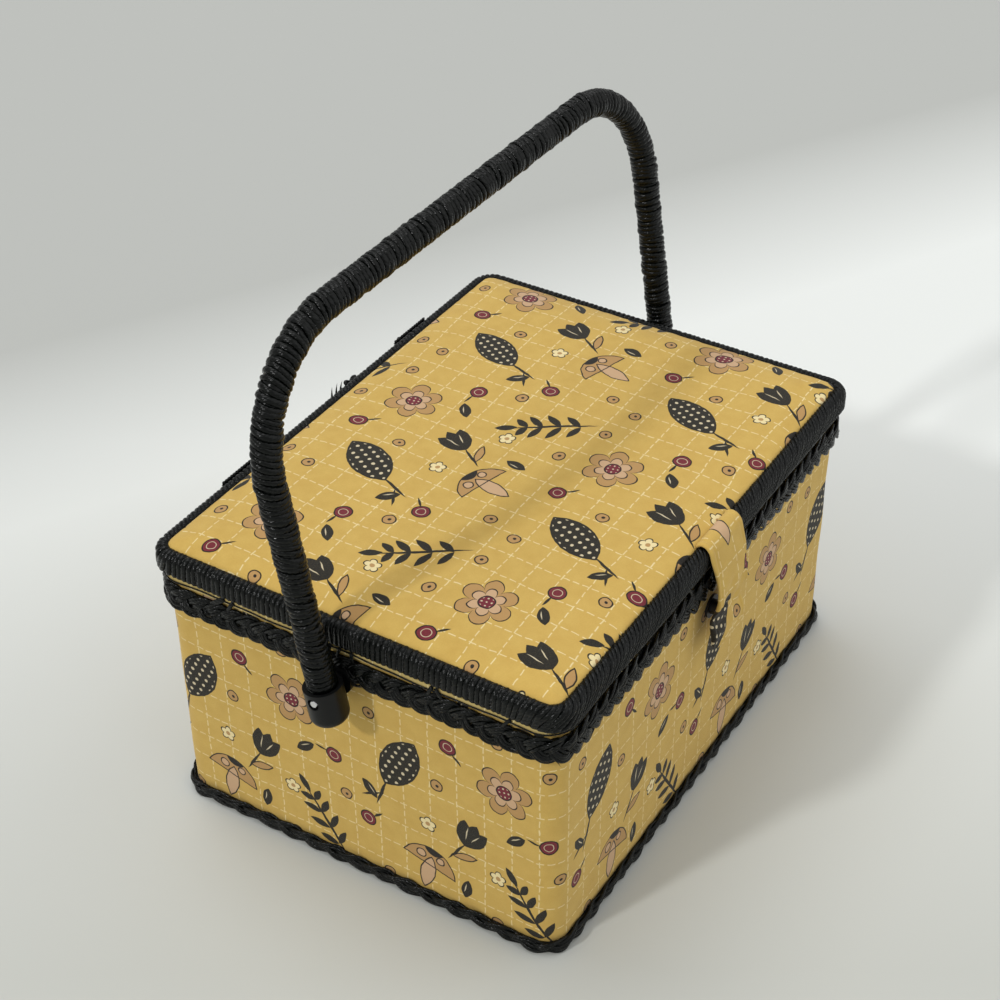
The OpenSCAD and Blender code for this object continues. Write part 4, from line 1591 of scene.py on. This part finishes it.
        strands = Net.strands(centres, across, unit(np.cross(flow, across)), wide, thick)
        core_out, core_z, _, _ = self.profile(np.linspace(0, 1, 22), self.core_depth)
        core = run_round(loop, list(zip(core_out, core_z)), 240, "lay")
        piece = Net.piece("rim_winding", self.palette.cord, strands, core)
        mount(piece, "lid", "black_cord", "lid_rim_cord")

    def from_middle(self, s: Array, middle: RoundedLoop) -> Array:
        """Carry lengths from a loop outside the fabric's outline to the same places on it.

        Args:
            s: Lengths on the outer loop.
            middle: The outer loop, with the same corner centres.

        Returns:
            Lengths on the fabric's outline.
        """
        long, short = self.loop.sides()
        outer_bend, inner_bend = (math.pi / 2 * one.corner for one in (middle, self.loop))
        runs = [long / 2, outer_bend, short, outer_bend, long, outer_bend, short, outer_bend, long / 2]
        inner_runs = [inner_bend if k % 2 else run for k, run in enumerate(runs)]
        return np.interp(s, np.cumsum([0, *runs]), np.cumsum([0, *inner_runs]))

    def back_knots(self) -> None:
        """Knotted cord ends and stray tips that stand behind the lid."""
        y = self.depth / 2 + self.rim
        turn = np.linspace(0, TURN, 40)[:-1]
        knots = np.array([
            np.stack(
                [
                    x + size * (np.sin(turn) + 0.9 * np.sin(2 * turn)) * 0.8,
                    y + 1.0 + 1.1 * np.sin(3 * turn),
                    z + size * (np.cos(turn) - 0.9 * np.cos(2 * turn)) * 0.55,
                ],
                -1,
            )
            for x, z, size in ((20.0, 158.4, 3.2), (72.0, 158.0, 3.4))
        ])
        t = np.linspace(0, 1, 7)
        tips = np.array([
            np.stack([x + bend * t ** 2, y + 0.3 + 0.6 * t, z + tall * t], -1)
            for x, z, tall, bend in ((2.0, 157.5, 7.6, 1.2), (6.0, 158.0, 7.0, 2.0), (10.0, 158.5, 5.4, 2.6))
        ])
        nets = []
        for centres, wide, deep, closed in (
            (knots, 1.1, 1.0, True), (tips, 0.9 * (1.05 - t), 0.7 * (1.05 - t), False),
        ):
            flow = flows(centres, closed)
            out = unit(np.cross(flow, np.cross(Y_WAY, flow)))
            nets.append(Net.strands(centres, unit(np.cross(out, flow)), out, wide, deep, closed=closed))
        mount(Net.piece("rim_knots", self.palette.cord, *nets), "lid", "black_cord")

    def lining_panel(self) -> None:
        """Quilted panel under the lid."""
        panel = QuiltedPanel(*node_box("lid_lining"), square=41.0, dimple=0.9, crown_up=False)
        piece = Net.piece("lid_lining_panel", self.palette.lining, panel.net())
        mount(piece, "lid", "lining_fabric", "lid_lining")

    def pocket(self) -> None:
        """Gathered pocket: thin cloth, sewn on three sides, with folds that run from its mouth."""
        low, high = node_box("lid_pocket")
        half, middle = (high - low)[:2] / 2, (high + low)[:2] / 2
        xy, inset = rounded_grid(half[0], half[1], 3.0, 1.7)
        depth = high[2] - low[2]
        across, along = xy[..., 0] / half[0], xy[..., 1] / half[1]
        body = np.clip(inset / 16, 0, 1) ** 0.7 * (0.55 + 0.45 * (1 - across ** 2))
        fold_pitch, thin = 8.5, 0.6
        folds = 0.5 + 0.5 * np.sin(TURN * xy[..., 0] / fold_pitch + 1.4 * ripple(xy[..., 0] / 50, along, 6))
        gather = 0.32 * (0.4 + 0.6 * along ** 2)
        soft = (depth - thin) * body * (1 - gather * folds) + thin
        face = lifted(xy + middle, high[2] - np.clip(soft, thin, depth))
        net = Net.shell(face, face + np.array([0, 0, 0.5]))
        piece = Net.piece("gathered_pocket", self.palette.lining, net)
        mount(piece, "lid", "lining_fabric", "lid_pocket")
        span = np.diff(face, axis=0)[:, 1:], np.diff(face, axis=1)[1:]
        real = np.linalg.norm(np.cross(*span), axis=2).sum()
        cloth_sheet(piece, real / (2 * half[1]), 2 * half[1], "gathered", "lid_lining_panel")

    def pincushion(self) -> None:
        """Felt pincushion with sewn segments and a tuft."""
        low, high = node_box("lid_pincushion")
        middle, radius, tall = (high + low)[:2] / 2, (high - low)[0] / 2, high[2] - low[2]
        ring, angle = np.meshgrid(np.linspace(0.02, 1, 22), np.arange(72) * TURN / 72, indexing="ij")
        seam = np.abs(np.sin(3 * angle)) ** 0.35
        dome = np.sqrt(np.clip(1 - ring ** 2.4, 0, 1))
        drop = tall * dome * (0.84 + 0.16 * seam) * (1 - 0.42 * bell(ring, 0, 0.14))
        spread = radius * ring * (0.965 + 0.035 * seam)
        points = np.stack(
            [middle[0] + spread * np.cos(angle), middle[1] + spread * np.sin(angle), high[2] - drop], -1
        )
        net = Net.tube(points, {})
        piece = Net.piece("felt_pincushion", self.palette.felt, net)
        mount(piece, "lid", "pincushion_felt", "lid_pincushion")


@dataclass
class ClosingTab:
    """The fabric tab: sewn in at the lid's edge, folded over the rim and pressed on a snap."""

    palette: Palette
    width: float = 34.0
    thick: float = 2.4
    end_round: float = 9.0
    line: Sequence[Point2] = (
        (-111.4, 162.6), (-112.8, 164.7), (-114.8, 165.3), (-117.4, 164.4), (-119.6, 161.6),
        (-120.6, 157.4), (-122.9, 149.4), (-124.5, 140.4), (-124.9, 132.4), (-123.9, 125.0),
        (-122.3, 119.5), (-122.5, 115.0), (-123.9, 109.0), (-124.4, 103.0), (-123.6, 98.6),
    )
    fold_top: Point2 = (-119.9, 160.4)
    fold_end: Point2 = (-121.4, 153.4)
    rows: int = 96
    columns: int = 45

    def build(self) -> None:
        """Make the tab as one folded cloth with hemmed sides."""
        route = self.smooth_line(self.rows)
        flow = unit(np.gradient(route, axis=0))
        face = np.stack([flow[:, 1], -flow[:, 0]], -1)
        if face[self.rows // 2, 0] > 0:
            face = -face
        length = np.concatenate([[0], np.cumsum(np.linalg.norm(np.diff(route, axis=0), axis=1))])[:, None]
        share = length / length[-1]
        rounded = np.clip((1 - share) * length[-1] / self.end_round, 0, 1)
        end = 1 - 0.5 * (1 - np.sqrt(1 - (1 - rounded) ** 2))
        press = 1 - 0.06 * bell(share, 0.66, 0.05)
        waist = 1 - 0.13 * bell(share, 0.47, 0.17)
        half = self.width / 2 * end * press * waist
        u = np.linspace(1, -1, self.columns)
        x = u * (1.25 - 0.25 * u ** 2)
        side = np.sqrt(np.clip(1 - np.abs(x) ** 8, 0, 1))
        x = np.concatenate([x, x[-2:0:-1]])
        side = np.concatenate([side, -side[-2:0:-1]])
        xx = half * x
        across = xx / (self.width / 2)
        hem = 0.86 + 0.42 * bell(np.abs(across), 0.93, 0.09) - 0.3 * bell(np.abs(across), 0.79, 0.035)
        puffed = 1 + 0.35 * bell(share, 0.84, 0.09) + 0.2 * bell(share, 0.42, 0.16)
        dimple = bell(share, 0.67, 0.028) * bell(across, -0.1, 0.6)
        creases = bell(share, 0.62, 0.11) * 0.65 * np.sin(2.4 * math.pi * across + 11 * share + 0.8)
        folds = 0.5 * ripple(across * 1.1, share * 5.0, 12) * np.clip((share - 0.25) * 3, 0, 1)
        shift = np.where(side > 0, 1.0, 0.4) * (creases + folds) - 1.1 * dimple
        off = side * self.thick / 2 * hem * puffed + np.clip(shift, -1.1, 1.5)
        off = off * np.sqrt(np.clip(share / 0.01, 0.1, 1)) * np.sqrt(np.clip((1 - share) / 0.02, 0.08, 1))
        yz = route[:, None] + face[:, None] * off[..., None]
        points = np.concatenate([xx[..., None], yz], -1)
        cloth = np.stack([xx, -length + 0 * xx, np.zeros_like(xx)], -1)
        piece = Net.piece("tab_cloth", self.palette.tab_print, Net.tube(points, {"cloth": cloth}))
        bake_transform(piece)
        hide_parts("tab_root", "tab_flap")

    @staticmethod
    def place(point: Point2) -> Point3:
        """A point of the line in the middle of the tab, in metres."""
        return 0.0, point[0] * MM, point[1] * MM

    def smooth_line(self, steps: int) -> Array:
        """Round the tab's line.

        Args:
            steps: Number of points.

        Returns:
            Points (y, z) at even steps.
        """
        knots = np.array(self.line)
        at = np.concatenate([[0], np.cumsum(np.linalg.norm(np.diff(knots, axis=0), axis=1))])
        fine = np.linspace(0, at[-1], steps * 6)
        raw = np.stack([np.interp(fine, at, knots[:, k]) for k in (0, 1)], -1)
        kernel = np.hanning(39)
        kernel /= kernel.sum()
        padded = np.concatenate([np.repeat(raw[:1], 19, 0), raw, np.repeat(raw[-1:], 19, 0)])
        smooth = np.stack([np.convolve(padded[:, k], kernel, "valid") for k in (0, 1)], -1)
        return smooth[::6][:steps]


@dataclass
class Hinges:
    """Two cord hinges: flat cords looped round a pin and sewn down as pads."""

    palette: Palette
    offset: float = 78.0
    width: float = 30.0
    loops: int = 5
    axis_y: float = 122.2
    axis_z: float = 148.3
    loop_r: float = 2.8
    leaf: float = 3.3
    pad_tall: float = 10.0
    pad_thick: float = 1.3
    pad_count: int = 14
    half_wide: float = 1.33
    half_thick: float = 0.68

    def build(self) -> None:
        """Make the lashings on the case and on the lid."""
        for name, body, node, first, way in (
            ("case_lashing", "case", "hinge_pads_case", 0, -1.0),
            ("lid_lashing", "lid", "hinge_pads_lid", 1, 1.0),
        ):
            pad_y = node_box(node)[0][1] + self.pad_thick / 2
            nets = [
                net
                for middle in (-self.offset, self.offset)
                for net in (
                    self.loop_cords(middle, first, pad_y, way),
                    self.pad_cords(middle, pad_y, way),
                    self.pad_stitches(middle, pad_y, way),
                )
            ]
            mount(Net.piece(name, self.palette.cord, *nets), body, "black_cord", node)

    @staticmethod
    def in_plane(xs: Sequence[float], line: Array, wide: float, thick: float) -> Net:
        """Repeat a cord that lies in an upright plane.

        Args:
            xs: Places along the hinge.
            line: Points (y, z) of the cord.
            wide: Half its width.
            thick: Half its thickness.

        Returns:
            The cords.
        """
        centres = np.array([np.column_stack([np.full(len(line), x), line]) for x in xs])
        across = np.broadcast_to(np.array(X_WAY), centres.shape)
        return Net.strands(centres, across, unit(np.cross(across, flows(centres))), wide, thick)

    def loop_cords(self, middle: float, first: int, pad_y: float, way: float) -> Net:
        """Cords from the pad round the pin.

        Args:
            middle: Middle of the hinge.
            first: Number of the first loop.
            pad_y: Middle of the pad's thickness.
            way: 1 for up, -1 for down.

        Returns:
            The cords.
        """
        radius = self.loop_r - self.half_thick
        pitch = self.width / self.loops
        turn = np.linspace(0, 1.5 * math.pi, 22)
        arc_y = self.axis_y - radius * np.cos(turn)
        arc = np.column_stack([arc_y, self.axis_z - way * radius * np.sin(turn)])
        rise = np.linspace(self.leaf + 2.5, 0.6, 5)
        lean = (self.axis_y - radius - pad_y) * (1 - rise / rise[0])
        start = np.column_stack([pad_y + lean, self.axis_z + way * rise])
        xs = [
            middle - self.width / 2 + (k + 0.5) * pitch + side * self.half_wide * 1.02
            for k in range(first, self.loops, 2)
            for side in (-1, 1)
        ]
        return self.in_plane(xs, np.concatenate([start, arc]), self.half_wide, self.half_thick)

    def pad_cords(self, middle: float, pad_y: float, way: float) -> Net:
        """Upright cords side by side that make the pad.

        Args:
            middle: Middle of the hinge.
            pad_y: Middle of the pad's thickness.
            way: 1 for up, -1 for down.

        Returns:
            The cords.
        """
        pitch = self.width / self.pad_count
        z = self.axis_z + way * np.linspace(self.leaf, self.leaf + self.pad_tall, 8)
        xs = [middle - self.width / 2 + (k + 0.5) * pitch for k in range(self.pad_count)]
        line = np.column_stack([np.full_like(z, pad_y), z])
        return self.in_plane(xs, line, pitch * 0.53, self.pad_thick / 2)

    def pad_stitches(self, middle: float, pad_y: float, way: float) -> Net:
        """Level stitches over the pad's cords.

        Args:
            middle: Middle of the hinge.
            pad_y: Middle of the pad's thickness.
            way: 1 for up, -1 for down.

        Returns:
            The stitches.
        """
        x = np.linspace(middle - self.width / 2 + 0.5, middle + self.width / 2 - 0.5, 40)
        rows = []
        for share in (0.22, 0.78):
            waves = np.cos(TURN * (x - middle) / self.width * self.pad_count)
            y = pad_y + self.pad_thick / 2 + 0.12 * waves
            z = self.axis_z + way * (self.leaf + self.pad_tall * share) + 0.35 * np.sin(x * 1.3)
            rows.append(np.column_stack([x, y, z]))
        centres = np.array(rows)
        out = np.broadcast_to(np.array(Y_WAY), centres.shape)
        return Net.strands(centres, unit(np.cross(out, flows(centres))), out, 0.55, 0.4)


@dataclass
class Handle:
    """The wound bail handle."""

    palette: Palette
    leg_x: float = 168.05
    splay_deg: float = 1.4
    corner: float = 60.0
    height: float = 176.3
    lean_deg: float = 9.1
    pivot_y: float = 3.5
    pivot_z: float = 131.0
    start: float = 3.1
    winding_r: float = 7.5
    turns: int = 216
    cord_thick: float = 1.12
    cord_wide: float = 1.7
    settle: float = 0.15
    core_r: float = 6.1

    def build(self) -> None:
        """Wind the cord round the rod, over a dark layer that closes the gaps."""
        steps = 22
        angle = np.linspace(0, TURN * self.turns, self.turns * steps + 1)
        length = 2 * sum(self.parts())
        turn = angle / TURN
        ends = np.clip(np.minimum(turn, self.turns - turn) / 5, 0, 1)
        sway = 1.35 + 0.75 * wobble(turn / 7, 31)
        drift = 1.7 * wobble(turn / 24, 33) + 0.7 * wobble(turn / 4.5, 35)
        shake = 0.34 * wobble(turn * 0.93, 36) + 0.16 * wobble(turn * 2.3, 38)
        first = self.start + 1.5
        s = first + (length - 2 * first) * turn / self.turns
        s = s + ends * (sway * np.sin(angle - drift) + shake)
        s = np.clip(s, self.start + 1.0, length - self.start - 1.0)
        lumps = 0.26 * wobble(turn / 1.4, 37) + 0.16 * np.sin(angle * 2 + drift)
        radius = self.winding_r - self.cord_thick - self.settle + lumps
        place, normal, flow = self.at(s)
        deep = np.array(Y_WAY)
        out = unit(normal * np.cos(angle)[:, None] + deep * np.sin(angle)[:, None])
        roll = (0.35 * wobble(turn * 1.1, 39))[:, None]
        across = flow * np.cos(roll) + out * np.sin(roll)
        up = out * np.cos(roll) - flow * np.sin(roll)
        centre = self.leaned(place + out * radius[:, None]) + self.pivot()
        wide = self.cord_wide * (1 + 0.16 * wobble(turn * 1.7, 40))
        ways = (self.leaned(across)[None], self.leaned(up)[None])
        cord = Net.strands(centre[None], *ways, wide[None], self.cord_thick)
        place, normal, _ = self.at(np.linspace(self.start, length - self.start, 240))
        deep = np.broadcast_to(deep, normal.shape)
        centre = self.leaned(place) + self.pivot()
        ways = (self.leaned(normal)[None], self.leaned(deep)[None])
        core = Net.strands(centre[None], *ways, self.core_r, self.core_r, sides=24)
        piece = Net.piece("handle_cord", self.palette.cord, cord, core)
        mount(piece, "handle", "black_cord", "handle_winding")

    def pivot(self) -> Array:
        """Place of the pivots' middle."""
        return np.array([0, self.pivot_y, self.pivot_z])

    def parts(self) -> tuple[float, float, float]:
        """Split the rod's middle line at its bends.

        Returns:
            Lengths of a leg, a corner and half the bar.
        """
        splay = math.radians(self.splay_deg)
        leg = (self.height - self.corner * (1 + math.sin(splay))) / math.cos(splay)
        arc = self.corner * (math.pi / 2 + splay)
        bar = self.leg_x + leg * math.sin(splay) - self.corner * math.cos(splay)
        return leg, arc, bar

    def at(self, s: Array) -> tuple[Array, Array, Array]:
        """Places on the rod's middle line, upright, from the left pivot to the right one.

        Args:
            s: Lengths from the left pivot.

        Returns:
            Places, outward normals in the handle's plane, and directions.
        """
        leg, arc, bar = self.parts()
        half = leg + arc + bar
        side = np.where(s <= half, -1.0, 1.0)
        h = np.where(s <= half, s, 2 * half - s)
        splay = math.radians(self.splay_deg)
        angle = -splay + np.clip((h - leg) / self.corner, 0, math.pi / 2 + splay)
        arc_z = leg * math.cos(splay) + self.corner * math.sin(splay)
        on_leg = np.clip(h, None, leg)
        x = np.where(h <= leg, self.leg_x + on_leg * math.sin(splay), bar + self.corner * np.cos(angle))
        x = np.where(h > leg + arc, half - h, x)
        z = np.where(h <= leg, on_leg * math.cos(splay), arc_z + self.corner * np.sin(angle))
        zero = np.zeros_like(s)
        place = np.stack([side * x, zero, z], -1)
        normal = np.stack([side * np.cos(angle), zero, np.sin(angle)], -1)
        flow = np.stack([np.sin(angle), zero, -side * np.cos(angle)], -1)
        return place, normal, flow

    def leaned(self, vectors: Array) -> Array:
        """Lean places or directions back over the pivots.

        Args:
            vectors: Rows of places or directions, upright.

        Returns:
            The same rows, leaned.
        """
        lean = math.radians(self.lean_deg)
        c, s = math.cos(lean), math.sin(lean)
        return vectors @ np.array([[1, 0, 0], [0, c, -s], [0, s, c]])


@dataclass
class Studio:
    """Floor, lamps and camera."""

    azimuth_deg: float = -57.87
    elevation_deg: float = 37.01
    roll_deg: float = -0.55
    camera_at: Point3 = (-715.2, -438.1, 769.8)
    lens: float = 72.37
    # Painted light and shade: the floor's three colours stand in for a brighter pool beside the carrier and
    # shade before and far behind it.
    front_floor_painted_shade: Colour = srgb(199, 201, 195)
    pale_floor_painted_light: Colour = srgb(233, 236, 233)
    far_floor_painted_shade: Colour = srgb(186, 188, 184)
    inwards: Point3 = (0.00189, 0.00118, 0.0)
    away: Point3 = (0.0025, 0.00425, 0.0)
    middle_start: float = 0.44
    far_start: float = 1.4
    floor_half: float = 4000.0
    sky_level: float = 0.4
    sky_rise: float = 0.18

    def build(self) -> None:
        """Set up the picture."""
        self.camera()
        self.floor()
        self.lamp("overhead", (0.15, 0.4, 1.0), 35.0, 0.75)
        self.lamp("left_lamp", (-0.93, 0.37, 0.75), 5.0, 1.0)
        self.lamp("front_fill", (0.3, -0.9, 0.8), 70.0, 0.6)
        self.world()

    def camera(self) -> None:
        """Stand the camera where the photograph was taken."""
        azimuth, elevation, roll = (
            math.radians(v) for v in (self.azimuth_deg, self.elevation_deg, self.roll_deg)
        )
        level = math.cos(elevation)
        back = Vector((math.sin(azimuth) * level, -math.cos(azimuth) * level, math.sin(elevation)))
        right = (-back).cross(Vector((0, 0, 1))).normalized()
        up = right.cross(-back)
        turned = right * math.cos(roll) + up * math.sin(roll)
        upright = -right * math.sin(roll) + up * math.cos(roll)
        data = bpy.data.cameras.new("camera")
        data.lens = self.lens
        data.sensor_width = 36.0
        data.clip_end = 50.0
        camera = bpy.data.objects.new("camera", data)
        camera.matrix_world = Matrix.Translation(Vector(self.camera_at) * MM) @ Matrix(
            (turned, upright, back)
        ).transposed().to_4x4()
        bpy.context.scene.collection.objects.link(camera)
        bpy.context.scene.camera = camera

    def floor(self) -> None:
        """Pale floor with painted light and shade: brightest beside the carrier, with painted shade before
        and far behind it.
        """
        steps = np.linspace(-self.floor_half, self.floor_half, 9)
        xy = np.stack(np.meshgrid(steps, steps, indexing="ij"), -1)
        material = bpy.data.materials.new("pale_floor")
        material.use_nodes = True
        sheet = NodeSheet(material.node_tree, "Principled BSDF")
        place = sheet.object_mm()
        depth, far = place.part(self.inwards), place.part(self.away)
        middle = depth.math("ADD", depth, self.middle_start, clamp=True)
        behind = far.math("SUBTRACT", far, self.far_start, clamp=True)
        # Painted light: the middle band is lightened and the near and far floor are darkened in the base
        # colour.
        near = sheet.mix(middle, self.front_floor_painted_shade, self.pale_floor_painted_light)
        sheet.feed("Base Color", sheet.mix(behind, near, self.far_floor_painted_shade))
        sheet.feed("Roughness", 0.75)
        sheet.feed("Specular IOR Level", 0.2)
        faces = Net.quads(9, 9, False, False)[:, ::-1]
        Net.piece("floor", material, Net(lifted(xy, 0.0).reshape(-1, 3), faces))

    def lamp(self, name: str, towards: Point3, angle: float, power: float) -> None:
        """Hang a distant soft lamp.

        Args:
            name: Name of the lamp.
            towards: Direction from the carrier to the lamp.
            angle: How wide it looks, in degrees.
            power: Its strength.
        """
        data = bpy.data.lights.new(name, "SUN")
        data.angle = math.radians(angle)
        data.energy = power
        lamp = bpy.data.objects.new(name, data)
        lamp.rotation_euler = Vector(towards).to_track_quat("Z", "Y").to_euler()
        bpy.context.scene.collection.objects.link(lamp)

    def world(self) -> None:
        """Even light from all round, brighter overhead."""
        world = bpy.data.worlds.new("world")
        bpy.context.scene.world = world
        world.use_nodes = True
        sheet = NodeSheet(world.node_tree, "Background")
        way = sheet.node("ShaderNodeTexCoord", None, None, "Generated")
        height = way.part(Z_WAY)
        sheet.feed("Color", (1.0, 1.0, 1.0))
        upper = height.math("MULTIPLY", height, 1.0, clamp=True)
        sheet.feed("Strength", upper * self.sky_rise + self.sky_level)
        bpy.context.scene.view_settings.view_transform = "Standard"


def main() -> None:
    """Build the carrier's looks."""
    logging.basicConfig(level=logging.INFO, format="%(name)s: %(message)s")
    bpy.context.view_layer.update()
    Studio().build()
    palette = Palette()
    palette.dress_frame()
    Case(palette).build()
    Lid(palette).build()
    ClosingTab(palette).build()
    Hinges(palette).build()
    Handle(palette).build()


if __name__ == "__main__":
    main()
